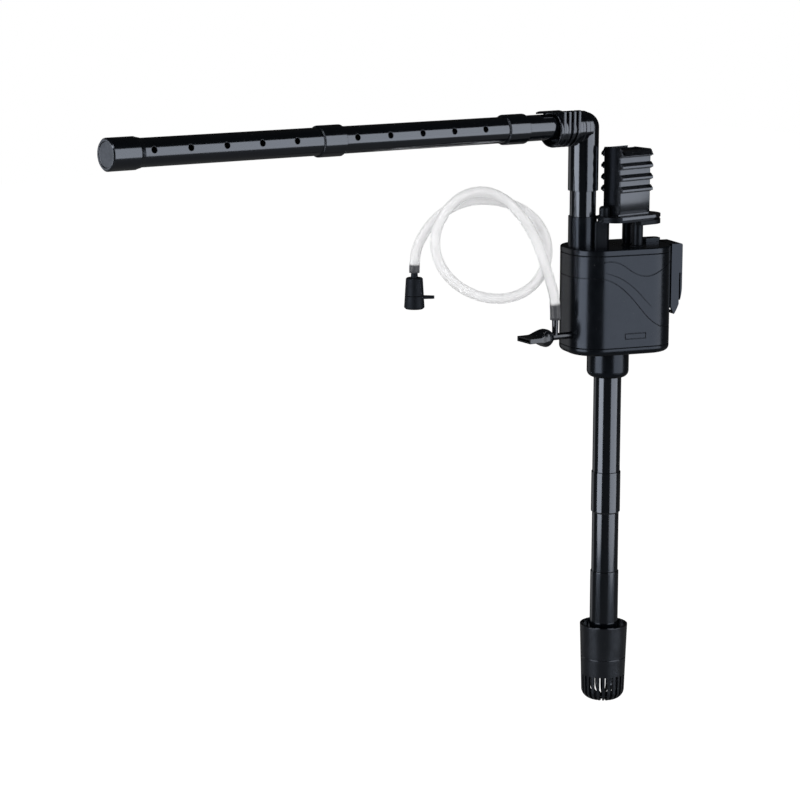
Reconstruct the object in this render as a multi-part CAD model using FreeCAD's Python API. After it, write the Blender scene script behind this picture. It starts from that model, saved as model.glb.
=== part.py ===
"""Submersible aquarium filter pump that hangs on a ribbed post.

The pump body hangs under the post.  A strainer tube goes down from it, a
riser with an elbow carries a two-length spray bar, and a duckbill outlet on
the left end draws air through a clear hose with a regulator at its far end.

Millimetres, +Z up.  The origin is the middle of the post's foot, on the top
face of its flange.  The spray bar points to -X, and the pump body is turned
about Z from it.
"""
import FreeCAD
import Part
import math
import os

Vec = FreeCAD.Vector

# ---------------------------------------------------------------- hanger
post_width = 24.4
post_depth = 14.8
post_height = 39.6
post_front_drop = 1.4
post_rear_step = 7.2
post_wall = 2.2
post_corner_radius = 0.5
post_floor = 3.0
rib_count = 4
rib_top_drop = 1.6
rib_pitch = 7.3
rib_height = 3.2
rib_reach = 2.3
rib_bead_height = 2.2
rib_lip_reach = 1.1
foot_groove_lift = 0.3
foot_groove_height = 1.4
foot_groove_depth = 0.9
flange_length = 44.0
flange_width = 21.2
flange_thickness = 1.8
flange_shift_x = 1.4
flange_shift_y = -0.7
yoke_plate_thickness = 1.5
yoke_inset = 0.4
yoke_pad_thickness = 2.5
yoke_pad_start = 0.3
hanger_height = 19.0
round_leg_diameter = 6.5
round_leg_x = 4.6
round_leg_spacing = 9.0
leg_foot_diameter = 8.7
leg_foot_height = 1.2
flat_leg_x = -17.4
flat_leg_y = 2.8
flat_leg_width = 9.0
flat_leg_depth = 5.0
flat_leg_corner = 1.5
leg_head_diameter = 6.4
leg_head_height = 6.0
leg_head_round = 2.0
leg_head_x = -15.2
leg_tenon_diameter = 4.0
leg_tenon_length = 3.0

# ---------------------------------------------------------------- pump body
pump_x = -1.2
pump_y = 8.0
pump_yaw = -17.0
pump_length = 65.5
pump_width = 45.0
pump_corner_radius = 18.0
pump_height = 64.3
lid_thickness = 3.7
cover_thickness = 4.6
casing_wall = 2.4
lid_edge_radius = 1.0
cover_edge_radius = 3.2
seam_chamfer = 0.35
skirt_height = 2.5
skirt_thickness = 1.6
gasket_height = 1.0
ledge_height = 1.8
groove_width = 0.55
groove_depth = 0.45
marker_width = 14.0
marker_height = 3.7
marker_x = 3.7
marker_above_cover = 7.0
marker_line = 0.45
gland_boss_inset = 6.9
gland_boss_y = 6.5
gland_boss_length = 12.4
gland_boss_width = 8.0
gland_boss_corner = 2.6
gland_boss_height = 2.2
gland_shift_x = 2.0
gland_shift_y = -0.9
gland_diameter = 4.0
gland_rim_diameter = 4.8
gland_rim_height = 0.3
gland_bore = 2.8
gland_depth = 4.6

# ---------------------------------------------------------------- fits
push_clearance = 0.05
running_clearance = 0.05
turn_gap = 0.3
gasket_squeeze = 0.02

# ---------------------------------------------------------------- outlet
riser_inset = 10.75
outlet_socket_diameter = 17.3
outlet_socket_height = 18.5
outlet_socket_depth = 14.0
spigot_diameter = 14.4
tube_bore = 11.6
riser_diameter = 15.8
spray_diameter = 15.3
elbow_leg_diameter = 18.2
elbow_leg_end = 15.0
bar_height = 52.7
elbow_rise = 0.64
bar_lift = 1.2
elbow_grip = 20.0
bell_length = 26.6
bell_mouth_diameter = 21.6
bell_root_diameter = 19.4
bell_mouth_bore = 19.4
bell_flare_depth = 6.0
bell_cup_length = 8.0
bell_tab_length = 7.5
bell_tab_angle = 50.0
bell_ring_count = 3
bell_ring_first = 3.2
bell_ring_pitch = 5.4
bell_ring_width = 3.6
bell_ring_height = 0.45
bell_grip = 10.0

# ---------------------------------------------------------------- spray bar
collar_diameter = 17.7
collar_length = 15.3
collar_edge = 0.4
outer_collar_diameter = 17.7
outer_tube_diameter = 15.6
spigot_length = 14.0
stub_exposed = 21.4
section_length = 117.3
end_section_length = 115.2
end_cap_diameter = 17.8
end_cap_length = 20.0
end_cap_wall = 2.0
end_cap_shoulder = 3.0
spray_hole_diameter = 3.6
spray_hole_count = 5
spray_hole_pitch = 22.9
spray_hole_tilt = 14.0
spray_hole_middle = 64.0

# ---------------------------------------------------------------- suction
suction_inset = 28.9
collar_neck_diameter = 25.6
collar_neck_height = 12.4
collar_taper_height = 3.9
collar_neck_wall = 0.55
upper_tube_diameter = 16.9
upper_tube_exposed = 59.2
upper_tube_grip = 14.0
lower_socket_diameter = 17.85
lower_socket_length = 25.9
lower_tube_diameter = 16.4
lower_tube_length = 37.0
strainer_neck_diameter = 17.4
strainer_neck_length = 31.0
strainer_gap = 3.3
strainer_height = 48.0
strainer_top_diameter = 29.4
strainer_bottom_diameter = 26.6
strainer_dome_height = 5.5
strainer_wall = 1.6
strainer_seam_drop = 20.7
strainer_seam_size = 0.45
strainer_plug_drop = 4.0
strainer_plug_thickness = 3.0
strainer_slot_count = 24
strainer_slot_width = 1.9
strainer_slot_foot_width = 0.6
strainer_slot_top = 31.8
strainer_floor_diameter = 8.6
strainer_flat_diameter = 13.0

# ---------------------------------------------------------------- air inlet
nozzle_yaw = 11.0
nozzle_above_cover = 7.5
stub_diameter = 4.2
stub_bore = 2.2
barb_distance = 11.4
barb_foot_diameter = 3.6
barb_foot_height = 10.3
barb_diameter = 4.0
barb_ring_diameter = 4.5
barb_ring_count = 3
barb_bore = 1.8
barb_length = 9.5
duckbill_length = 20.1
duckbill_mouth_width = 14.0
duckbill_mouth_height = 3.1
duckbill_bulb_width = 12.2
duckbill_bulb_height = 10.8
duckbill_neck_diameter = 5.2
duckbill_wall = 0.9
duckbill_spigot_diameter = 3.3
duckbill_grip = 4.5
duckbill_bulb_share = 0.27
duckbill_flat_share = 0.64

# ---------------------------------------------------------------- air valve
valve_top_diameter = 10.2
valve_seam_diameter = 11.4
valve_foot_diameter = 12.3
valve_upper_height = 10.6
valve_cap_height = 7.9
valve_neck_diameter = 4.3
valve_neck_height = 3.0
valve_barb_length = 4.8
valve_pivot_diameter = 6.6
valve_pivot_length = 4.5
valve_inlet_diameter = 2.0
valve_lever_length = 6.3
valve_lever_width = 4.2
valve_lever_tip_width = 2.0
valve_lever_thickness = 1.8
valve_lever_yaw = -37.5

# ---------------------------------------------------------------- air hose
hose_diameter = 6.0
hose_bore = 4.0
hose_arc_share = 0.45
# The route runs from the barb at the duckbill, round the loose coil, to the
# regulator's barb.  The strand passes in front first and behind later.
hose_route = (
    Vec(-45.8, 11.1, -60.9),
    Vec(-45.8, 11.1, -49.0),
    Vec(-49.9, 11.7, -36.2),
    Vec(-53.8, 12.6, -25.4),
    Vec(-58.2, 15.1, -11.6),
    Vec(-64.6, 19.8, 1.8),
    Vec(-73.5, 26.7, 13.2),
    Vec(-83.9, 35.0, 17.6),
    Vec(-93.5, 42.8, 13.9),
    Vec(-101.0, 49.3, 3.7),
    Vec(-104.9, 53.0, -9.2),
    Vec(-103.9, 53.0, -22.2),
    Vec(-98.6, 49.8, -33.9),
    Vec(-90.2, 44.4, -42.6),
    Vec(-79.9, 37.6, -47.8),
    Vec(-68.8, 30.5, -48.7),
    Vec(-58.8, 24.1, -45.0),
    Vec(-51.1, 19.5, -36.8),
    Vec(-47.0, 17.1, -25.2),
    Vec(-47.4, 17.8, -12.4),
    Vec(-52.4, 21.7, -1.3),
    Vec(-60.6, 28.1, 6.4),
    Vec(-71.3, 36.1, 10.6),
    Vec(-82.9, 44.9, 10.8),
    Vec(-93.3, 52.7, 6.3),
    Vec(-102.0, 59.3, -2.6),
    Vec(-107.8, 63.5, -13.4),
    Vec(-110.4, 65.4, -24.0),
    Vec(-110.4, 65.4, -33.0),
)

# ---------------------------------------------------------------- latch
latch_width = 20.0
latch_reach = 7.6
latch_gap = 0.3
latch_wall = 1.8
latch_top_wall = 1.6
latch_drop = 43.0
latch_knee_height = 16.0
latch_slot_width = 0.8
latch_slot_top = 18.0
latch_leaf = 1.2
latch_inner_wall = 0.7
latch_relief = 1.8
latch_floor_gap = 1.2
latch_nose_reach = 2.2
latch_nose_height = 1.7
latch_nose_width = 12.0
latch_pin_drop = 38.5
latch_pin_reach = 2.6
latch_pin_diameter = 2.4
latch_lug_diameter = 3.6
latch_lug_width = 8.0

# ---------------------------------------------------------------- motor
well_diameter = 16.8
well_top_below_lid = 12.0
block_left = 13.5
block_top_gap = 1.0
block_side_gap = 0.3
block_bottom_below_lid = 43.0
core_height = 16.0
core_drop = 19.0
core_arm = 6.1
core_pole_gap = 3.0
core_bridge_inset = 9.75
core_bridge_width = 5.5
core_cover = 1.2
coil_build = 4.6
coil_width = 17.0
rotor_diameter = 15.2
rotor_drop = 14.0
rotor_length = 25.0
shaft_diameter = 3.0
bush_diameter = 6.6
bush_height = 3.0
impeller_diameter = 21.6
impeller_plate = 1.5
impeller_blade_count = 6
impeller_blade_height = 8.0
impeller_blade_thickness = 1.1
impeller_hub_diameter = 6.4
impeller_neck_diameter = 9.6
chamber_diameter = 30.0
chamber_bore = 24.6
chamber_floor = 1.6
chamber_clearance = 1.2
chamber_eye_diameter = 12.0
chamber_spoke_count = 3
chamber_spoke_width = 1.6
chamber_hub_diameter = 6.0
duct_diameter = 12.4
duct_bore = 10.0
duct_mouth_height = 8.0
tap_diameter = 4.0
tap_bore = 2.2

# ---------------------------------------------------------------- levels
riser_offset = pump_length / 2.0 - riser_inset
suction_offset = pump_length / 2.0 - suction_inset
gland_boss_x = pump_length / 2.0 - gland_boss_inset
gland_x = gland_boss_x + gland_shift_x
gland_y = gland_boss_y + gland_shift_y
core_bridge_start = pump_length / 2.0 - core_bridge_inset - core_bridge_width
lid_top = -hanger_height
lid_bottom = lid_top - lid_thickness
cover_bottom = lid_top - pump_height
cover_top = cover_bottom + cover_thickness
neck_bottom = cover_bottom - collar_neck_height
taper_bottom = neck_bottom - collar_taper_height
upper_tube_end = taper_bottom - upper_tube_exposed
lower_socket_end = upper_tube_end - lower_socket_length
lower_tube_end = lower_socket_end - lower_tube_length
strainer_neck_end = lower_tube_end - strainer_neck_length
strainer_top = strainer_neck_end - strainer_gap
strainer_bottom = strainer_top - strainer_height
socket_bore = spigot_diameter + 2.0 * push_clearance
collar_two_start = bell_length + stub_exposed
collar_two_end = collar_two_start + collar_length
collar_one_start = collar_two_end + section_length
collar_one_end = collar_one_start + collar_length
cap_start = collar_one_end + end_section_length
cap_end = cap_start + end_cap_length


# ---------------------------------------------------------------- helpers
def box(x_low, x_high, y_low, y_high, z_low, z_high):
    """Box between two corners."""
    corner = Vec(x_low, y_low, z_low)
    return Part.makeBox(x_high - x_low, y_high - y_low, z_high - z_low, corner)


def post(x, y, z_low, z_high, diameter):
    """Upright cylinder between two levels."""
    return Part.makeCylinder(diameter / 2.0, z_high - z_low, Vec(x, y, z_low))


def fuse_all(first, others):
    """One solid of several that touch."""
    result = first
    for other in others:
        result = result.fuse(other)
    return result.removeSplitter()


def cut_all(solid, cutters):
    """A solid less several others."""
    result = solid
    for cutter in cutters:
        result = result.cut(cutter)
    return result


def rounded_wire(length, width, radius, z):
    """Rounded rectangle about the Z axis, in a level plane."""
    half_x = length / 2.0
    half_y = width / 2.0
    slant = radius * math.sqrt(0.5)
    edges = []
    corners = ((1, 1), (-1, 1), (-1, -1), (1, -1))
    previous = None
    first = None
    for sign_x, sign_y in corners:
        centre_x = sign_x * (half_x - radius)
        centre_y = sign_y * (half_y - radius)
        on_x = Vec(centre_x + sign_x * radius, centre_y, z)
        on_y = Vec(centre_x, centre_y + sign_y * radius, z)
        middle = Vec(centre_x + sign_x * slant, centre_y + sign_y * slant, z)
        start, end = (on_x, on_y) if sign_x * sign_y > 0 else (on_y, on_x)
        if previous is not None:
            edges.append(Part.LineSegment(previous, start).toShape())
        else:
            first = start
        edges.append(Part.Arc(start, middle, end).toShape())
        previous = end
    edges.append(Part.LineSegment(previous, first).toShape())
    return Part.Wire(edges)


def rounded_plate(length, width, radius, z_low, z_high):
    """Prism of a rounded rectangle."""
    face = Part.Face(rounded_wire(length, width, radius, z_low))
    return face.extrude(Vec(0, 0, z_high - z_low))


def turned(profile, x=0.0, y=0.0):
    """Body of revolution about an upright axis, from (radius, level) pairs."""
    points = [Vec(x + radius, y, level) for radius, level in profile]
    points.append(points[0])
    face = Part.Face(Part.makePolygon(points))
    return face.revolve(Vec(x, y, 0), Vec(0, 0, 1), 360)


def level_edges(solid, z):
    """The edges of a solid that lie wholly at one level."""
    found = []
    for edge in solid.Edges:
        bounds = edge.BoundBox
        if abs(bounds.ZMin - z) < 1e-4 and abs(bounds.ZMax - z) < 1e-4:
            found.append(edge)
    return found


def on_pump(shape):
    """Place a shape that was drawn square to the pump body."""
    placed = shape.copy()
    placed.rotate(Vec(0, 0, 0), Vec(0, 0, 1), pump_yaw)
    placed.translate(Vec(pump_x, pump_y, 0))
    return placed


def pump_point(x, y, z):
    """A point of the pump's own frame, in the part's frame."""
    turn = math.radians(pump_yaw)
    new_x = pump_x + x * math.cos(turn) - y * math.sin(turn)
    new_y = pump_y + x * math.sin(turn) + y * math.cos(turn)
    return Vec(new_x, new_y, z)


def on_bar(shape):
    """Lay a shape drawn upright along the spray bar, which rises towards -X."""
    laid = shape.copy()
    laid.rotate(Vec(0, 0, 0), Vec(0, 1, 0), elbow_rise - 90)
    corner = pump_point(-riser_offset, 0, bar_height)
    laid.translate(corner + Vec(0, 0, bar_lift))
    return laid


def on_bell(shape):
    """Lay a shape along the elbow's bell, whose axis is just under the bar's."""
    laid = on_bar(shape)
    laid.translate(Vec(0, 0, -bar_lift))
    return laid


def nozzle_frame():
    """Placement at the casing's rounded end, with Z along the nozzle."""
    turn = math.radians(nozzle_yaw)
    centre_x = -(pump_length / 2.0 - pump_corner_radius)
    centre_y = -(pump_width / 2.0 - pump_corner_radius)
    outward = Vec(-math.cos(turn), -math.sin(turn), 0)
    start = Vec(centre_x, centre_y, cover_top + nozzle_above_cover)
    start = start + outward * pump_corner_radius
    up = Vec(0, 0, 1)
    side = up.cross(outward)
    turn_to = FreeCAD.Rotation(side, up, outward, "ZYX")
    return FreeCAD.Placement(start, turn_to)


def on_nozzle(shape):
    """Place a shape drawn along Z on the nozzle's axis."""
    placed = shape.copy()
    placed.Placement = nozzle_frame().multiply(placed.Placement)
    return on_pump(placed)


def barbed(x, y, z_low, length, foot_diameter, foot_height):
    """Hose barb: a plain foot, then saw-tooth rings, with its bore."""
    profile = [(barb_bore / 2.0, z_low), (foot_diameter / 2.0, z_low)]
    level = z_low + foot_height
    profile.append((barb_diameter / 2.0, level))
    step = length / barb_ring_count
    for index in range(barb_ring_count):
        bottom = level + index * step
        profile.append((barb_diameter / 2.0, bottom + 0.3 * step))
        profile.append((barb_ring_diameter / 2.0, bottom + 0.35 * step))
        profile.append((barb_diameter / 2.0, bottom + step))
    profile.append((barb_bore / 2.0, level + length))
    return turned(profile, x, y)


# ---------------------------------------------------------------- hanger
def on_flange(shape):
    """Move a shape that was drawn about the flange's middle."""
    shape.translate(Vec(flange_shift_x, flange_shift_y, 0))
    return shape


def post_rib(side, level):
    """Cross rib with a bead on top and a lower lip, on the front or back."""
    top = level + rib_height / 2.0
    low = level - rib_height / 2.0
    step = top - rib_bead_height
    outline = ((-0.4, top), (rib_reach - 0.8, top), (rib_reach, top - 0.7),
               (rib_reach, step + 0.6), (rib_reach - 0.5, step),
               (rib_lip_reach, step), (rib_lip_reach, low + 0.3),
               (rib_lip_reach - 0.3, low), (-0.4, low))
    left = -post_width / 2.0
    base = post_depth / 2.0
    points = [Vec(left, side * (base + reach), z) for reach, z in outline]
    points.append(points[0])
    return Part.Face(Part.makePolygon(points)).extrude(Vec(post_width, 0, 0))


def make_hanger_post():
    """Hollow ribbed post on its flange, moulded in one."""
    shell = rounded_plate(post_width, post_depth, post_corner_radius, 0, post_height)
    inner_radius = max(post_corner_radius - post_wall, 0.4)
    inner = rounded_plate(post_width - 2 * post_wall, post_depth - 2 * post_wall,
                          inner_radius, post_floor, post_height + 1)
    half_width = post_width / 2.0
    half_depth = post_depth / 2.0
    low_top = post_height - post_front_drop
    front_top = box(post_wall - half_width, post_width, -post_depth,
                    -half_depth + post_wall, low_top, post_height + 1)
    right_top = box(half_width - post_rear_step, post_width, -post_depth,
                    post_depth, low_top, post_height + 1)
    foot_groove = box(-post_width, post_width, -post_depth,
                      foot_groove_depth - half_depth, foot_groove_lift,
                      foot_groove_height)
    ribs = []
    for index in range(rib_count):
        level = post_height - rib_top_drop - index * rib_pitch
        for side in (-1, 1):
            ribs.append(post_rib(side, level))
    flange = rounded_plate(flange_length, flange_width, flange_width / 2.0 - 0.01,
                           -flange_thickness, 0)
    head = post(leg_head_x, flat_leg_y, 0, leg_head_height, leg_head_diameter)
    head = head.makeFillet(leg_head_round, level_edges(head, leg_head_height))
    shell = cut_all(fuse_all(shell, ribs), (inner, front_top, right_top, foot_groove))
    return fuse_all(shell, (on_flange(flange), head))


def round_leg(y):
    """One round leg with its foot ring and tenon."""
    top = -flange_thickness - yoke_plate_thickness
    leg = post(round_leg_x, y, lid_top, top, round_leg_diameter)
    foot = Part.makeCone(leg_foot_diameter / 2.0, round_leg_diameter / 2.0,
                         leg_foot_height, Vec(round_leg_x, y, lid_top))
    tenon = post(round_leg_x, y, lid_top - leg_tenon_length, lid_top,
                 leg_tenon_diameter)
    return fuse_all(leg, (foot, tenon))


def flat_leg():
    """The flat leg beside the riser, with its tenon."""
    top = -flange_thickness - yoke_plate_thickness
    leg = rounded_plate(flat_leg_width, flat_leg_depth, flat_leg_corner, lid_top, top)
    tenon = post(0, 0, lid_top - leg_tenon_length, lid_top, leg_tenon_diameter)
    leg = leg.fuse(tenon)
    leg.translate(Vec(flat_leg_x, flat_leg_y, 0))
    return leg


def make_hanger_yoke():
    """Plate, pad and legs that carry the flange over the lid."""
    top = -flange_thickness
    low = top - yoke_plate_thickness
    length = flange_length - 2 * yoke_inset
    width = flange_width - 2 * yoke_inset
    plate = rounded_plate(length, width, width / 2.0 - 0.01, low, top)
    pad = rounded_plate(flange_length, flange_width, flange_width / 2.0 - 0.01,
                        low - yoke_pad_thickness, low)
    keep = box(yoke_pad_start, flange_length, -flange_width, flange_width,
               low - 2 * yoke_pad_thickness, low + 1)
    pad = on_flange(pad.common(keep))
    plate = on_flange(plate)
    half = round_leg_spacing / 2.0
    legs = [round_leg(flange_shift_y + half), round_leg(flange_shift_y - half),
            flat_leg()]
    return fuse_all(plate, [pad] + legs)


# ---------------------------------------------------------------- pump body
def skirt_ring(z_low, z_high, gap):
    """Ring that stands just inside the casing wall."""
    inset = 2 * (casing_wall + gap)
    outer = rounded_plate(pump_length - inset, pump_width - inset,
                          pump_corner_radius - inset / 2.0, z_low, z_high)
    inset = inset + 2 * skirt_thickness
    inner = rounded_plate(pump_length - inset, pump_width - inset,
                          pump_corner_radius - inset / 2.0, z_low - 1, z_high + 1)
    return outer.cut(inner)


def wave_band(points, z_shift):
    """Thin upright band through the body along a wavy line."""
    half = groove_width / 2.0
    upper = [Vec(x, -pump_width, z + z_shift + half) for x, z in points]
    lower = [Vec(x, -pump_width, z + z_shift - half) for x, z in points]
    top_curve = Part.BSplineCurve()
    top_curve.interpolate(upper)
    low_curve = Part.BSplineCurve()
    low_curve.interpolate(lower)
    edges = [
        top_curve.toShape(),
        Part.LineSegment(upper[-1], lower[-1]).toShape(),
        low_curve.toShape(),
        Part.LineSegment(lower[0], upper[0]).toShape(),
    ]
    face = Part.Face(Part.Wire(Part.__sortEdges__(edges)))
    return face.extrude(Vec(0, 2 * pump_width, 0))


def casing_grooves():
    """The two wavy lines pressed into the casing's sides."""
    outer = rounded_plate(pump_length + 2, pump_width + 2, pump_corner_radius + 1,
                          cover_top, lid_bottom)
    inset = 2 * groove_depth
    inner = rounded_plate(pump_length - inset, pump_width - inset,
                          pump_corner_radius - groove_depth,
                          cover_top - 1, lid_bottom + 1)
    skin = outer.cut(inner)
    half = pump_length / 2.0
    upper_wave = ((-18.0, -7.3), (-12.6, -7.0), (-8.9, -7.8), (-3.8, -10.4),
                  (1.3, -13.9), (6.6, -16.2), (10.4, -16.7), (14.2, -16.2),
                  (19.5, -14.1), (half, -9.5))
    lower_wave = ((-half - 3, -16.6), (-24.0, -16.8), (-16.4, -17.6), (-11.9, -19.4),
                  (-6.1, -23.1), (-0.9, -27.8), (4.3, -33.4), (9.6, -39.6),
                  (14.8, -44.5), (19.0, -47.1), (24.0, -48.5), (half + 3, -49.2))
    bands = [wave_band(upper_wave, lid_top), wave_band(lower_wave, lid_top)]
    return [band.common(skin) for band in bands]


def marker_groove():
    """Outline of the small bare pad near the casing's foot."""
    low = cover_top + marker_above_cover - marker_height / 2.0
    left = marker_x - marker_width / 2.0
    front = -pump_width / 2.0
    outer = box(left, left + marker_width, front - 1, front + groove_depth,
                low, low + marker_height)
    inner = box(left + marker_line, left + marker_width - marker_line,
                front - 2, front + 1, low + marker_line,
                low + marker_height - marker_line)
    return outer.cut(inner)


def latch_lug():
    """Lug on the casing's right end that carries the latch pin."""
    x = pump_length / 2.0 + latch_pin_reach
    z = lid_top - latch_pin_drop
    half = latch_lug_width / 2.0
    eye = Part.makeCylinder(latch_lug_diameter / 2.0, latch_lug_width,
                            Vec(x, -half, z), Vec(0, 1, 0))
    root = box(pump_length / 2.0 - casing_wall / 2.0, x, -half, half,
               z - latch_lug_diameter / 2.0, z + latch_lug_diameter / 2.0)
    return eye.fuse(root)


def latch_pin_hole(diameter, width):
    """Cylinder on the latch's hinge line."""
    x = pump_length / 2.0 + latch_pin_reach
    z = lid_top - latch_pin_drop
    return Part.makeCylinder(diameter / 2.0, width, Vec(x, -width / 2.0, z),
                             Vec(0, 1, 0))


def make_pump_casing():
    """The pump's side wall with its inner ledges, grooves and air port."""
    outer = rounded_plate(pump_length, pump_width, pump_corner_radius,
                          cover_top, lid_bottom)
    outer = outer.makeChamfer(seam_chamfer, level_edges(outer, cover_top)
                              + level_edges(outer, lid_bottom))
    inset = 2 * casing_wall
    inner = rounded_plate(pump_length - inset, pump_width - inset,
                          pump_corner_radius - casing_wall,
                          cover_top - 1, lid_bottom + 1)
    upper = lid_bottom - skirt_height - gasket_height
    lower = cover_top + skirt_height + gasket_height
    ledges = [skirt_ring(upper - ledge_height, upper, 0),
              skirt_ring(lower, lower + ledge_height, 0)]
    wall = outer.cut(inner)
    wall = fuse_all(wall, ledges + [latch_lug()])
    inner_end = casing_wall + skirt_thickness
    port = Part.makeCylinder(stub_diameter / 2.0 + push_clearance, 3 * inner_end,
                             Vec(0, 0, -2 * inner_end))
    port.Placement = nozzle_frame().multiply(port.Placement)
    pin_hole = latch_pin_hole(latch_pin_diameter, latch_lug_width + 2)
    wall = cut_all(wall, casing_grooves() + [marker_groove(), port, pin_hole])
    return on_pump(wall)


def outlet_socket():
    """Upright socket on the lid, with its bore."""
    top = lid_top + outlet_socket_height
    outer = post(-riser_offset, 0, lid_bottom, top, outlet_socket_diameter)
    return outer


def leg_holes(depth):
    """Blind holes in the lid for the tenons of the legs."""
    holes = []
    half = round_leg_spacing / 2.0
    spots = ((round_leg_x, flange_shift_y + half),
             (round_leg_x, flange_shift_y - half), (flat_leg_x, flat_leg_y))
    for x, y in spots:
        hole = post(x, y, lid_top - depth, lid_top + 1,
                    leg_tenon_diameter + 2 * push_clearance)
        holes.append(hole)
    return holes


def make_top_lid():
    """Lid with its skirt, outlet socket, latch nose and gland boss."""
    plate = rounded_plate(pump_length, pump_width, pump_corner_radius,
                          lid_bottom, lid_top)
    plate = plate.makeChamfer(seam_chamfer, level_edges(plate, lid_bottom))
    plate = plate.makeFillet(lid_edge_radius, level_edges(plate, lid_top))
    skirt = skirt_ring(lid_bottom - skirt_height, lid_bottom, push_clearance)
    boss = rounded_plate(gland_boss_length, gland_boss_width, gland_boss_corner,
                         lid_bottom, lid_top + gland_boss_height)
    boss.translate(Vec(gland_boss_x, gland_boss_y, 0))
    right = pump_length / 2.0
    nose_top = lid_top - latch_top_wall - latch_gap
    nose = box(right - 2 * lid_edge_radius, right + latch_nose_reach,
               -latch_nose_width / 2.0, latch_nose_width / 2.0,
               nose_top - latch_nose_height, nose_top)
    lid = fuse_all(plate, (skirt, boss, nose, outlet_socket()))
    top = lid_top + outlet_socket_height
    bores = [
        post(-riser_offset, 0, top - outlet_socket_depth, top + 1, socket_bore),
        post(-riser_offset, 0, lid_bottom - 1, top, duct_bore),
        post(gland_x, gland_y, lid_top + gland_boss_height - gland_depth,
             lid_top + gland_boss_height + 1, gland_diameter + 2 * push_clearance),
    ]
    lid = on_pump(cut_all(lid, bores))
    return cut_all(lid, leg_holes(leg_tenon_length + push_clearance))


def make_bottom_cover():
    """Cover under the casing with the tapered intake collar."""
    plate = rounded_plate(pump_length, pump_width, pump_corner_radius,
                          cover_bottom, cover_top)
    plate = plate.makeChamfer(seam_chamfer, level_edges(plate, cover_top))
    plate = plate.makeFillet(cover_edge_radius, level_edges(plate, cover_bottom))
    skirt = skirt_ring(cover_top, cover_top + skirt_height, push_clearance)
    neck = collar_neck_diameter / 2.0
    tip = upper_tube_diameter / 2.0 + collar_neck_wall
    outline = [(0, cover_bottom + 1), (neck, cover_bottom + 1)]
    for index in range(7):
        turn = math.radians(15.0 * index)
        outline.append((tip + (neck - tip) * math.cos(turn),
                        neck_bottom - collar_taper_height * math.sin(turn)))
    outline.append((0, taper_bottom))
    collar = turned(outline, -suction_offset, 0)
    cover = fuse_all(plate, (skirt, collar))
    bores = [
        post(-suction_offset, 0, taper_bottom - 1, taper_bottom + upper_tube_grip,
             upper_tube_diameter + 2 * push_clearance),
        post(-suction_offset, 0, taper_bottom, cover_top + 1, tube_bore),
    ]
    return on_pump(cut_all(cover, bores))


def make_lid_gasket():
    """Flat ring pressed between the lid's skirt and the casing's ledge."""
    top = lid_bottom - skirt_height
    ring = skirt_ring(top - gasket_height, top, gasket_squeeze)
    return on_pump(ring)


def make_cover_gasket():
    """Flat ring pressed between the cover's skirt and the casing's ledge."""
    low = cover_top + skirt_height
    ring = skirt_ring(low, low + gasket_height, gasket_squeeze)
    return on_pump(ring)


def make_cord_gland():
    """Soft grommet in the boss where the supply cord would leave."""
    top = lid_top + gland_boss_height
    bottom = top - gland_depth
    bore = gland_bore / 2.0
    shank = gland_diameter / 2.0
    rim = gland_rim_diameter / 2.0
    profile = [(0, bottom), (shank, bottom), (shank, top), (rim, top),
               (rim, top + gland_rim_height), (bore, top + gland_rim_height),
               (bore, bottom + 1.5), (0, bottom + 1.5)]
    return on_pump(turned(profile, gland_x, gland_y))


# ---------------------------------------------------------------- latch
def make_latch_clip():
    """Snap clip that hooks over the lid's nose and turns on its pin."""
    inner = pump_length / 2.0 + latch_gap
    outer = pump_length / 2.0 + latch_reach
    top = lid_top
    low = lid_top - latch_drop
    pin_z = lid_top - latch_pin_drop
    knee = low + latch_knee_height
    half = latch_width / 2.0
    edges = [
        Part.LineSegment(Vec(inner, -half, pin_z), Vec(inner, -half, top)).toShape(),
        Part.LineSegment(Vec(inner, -half, top), Vec(outer - 1, -half, top)).toShape(),
        Part.Arc(Vec(outer - 1, -half, top), Vec(outer - 0.3, -half, top - 0.3),
                 Vec(outer, -half, top - 1)).toShape(),
        Part.LineSegment(Vec(outer, -half, top - 1),
                         Vec(outer, -half, knee)).toShape(),
        Part.Arc(Vec(outer, -half, knee),
                 Vec(outer - 1.6, -half, low + 7.0),
                 Vec(inner + latch_relief + 0.6, -half, low)).toShape(),
        Part.LineSegment(Vec(inner + latch_relief + 0.6, -half, low),
                         Vec(inner + latch_relief, -half, low)).toShape(),
        Part.LineSegment(Vec(inner + latch_relief, -half, low),
                         Vec(inner, -half, pin_z)).toShape(),
    ]
    body = Part.Face(Part.Wire(edges)).extrude(Vec(0, latch_width, 0))
    slot_outer = outer - latch_leaf
    slot_inner = slot_outer - latch_slot_width
    cavity_outer = slot_inner - latch_inner_wall
    cavity_low = pin_z - latch_lug_diameter / 2.0 - latch_floor_gap
    cavity = box(inner - 1, cavity_outer, -half + latch_wall, half - latch_wall,
                 cavity_low, top - latch_top_wall)
    slot = box(slot_inner, slot_outer, -half - 1, half + 1,
               low - 1, top - latch_slot_top)
    hole = latch_pin_hole(latch_pin_diameter + 2 * running_clearance,
                          latch_width - latch_wall)
    return on_pump(cut_all(body, (cavity, slot, hole)))


def make_latch_pin():
    """Pin of the latch, held in the casing's lug."""
    pin = latch_pin_hole(latch_pin_diameter, latch_width - latch_wall - 2 * turn_gap)
    return on_pump(pin)


# ---------------------------------------------------------------- motor
def well_top():
    """Level of the rotor well's closed end."""
    return lid_top - well_top_below_lid


def block_bottom():
    """Level of the motor block's lower face."""
    return lid_top - block_bottom_below_lid


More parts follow.
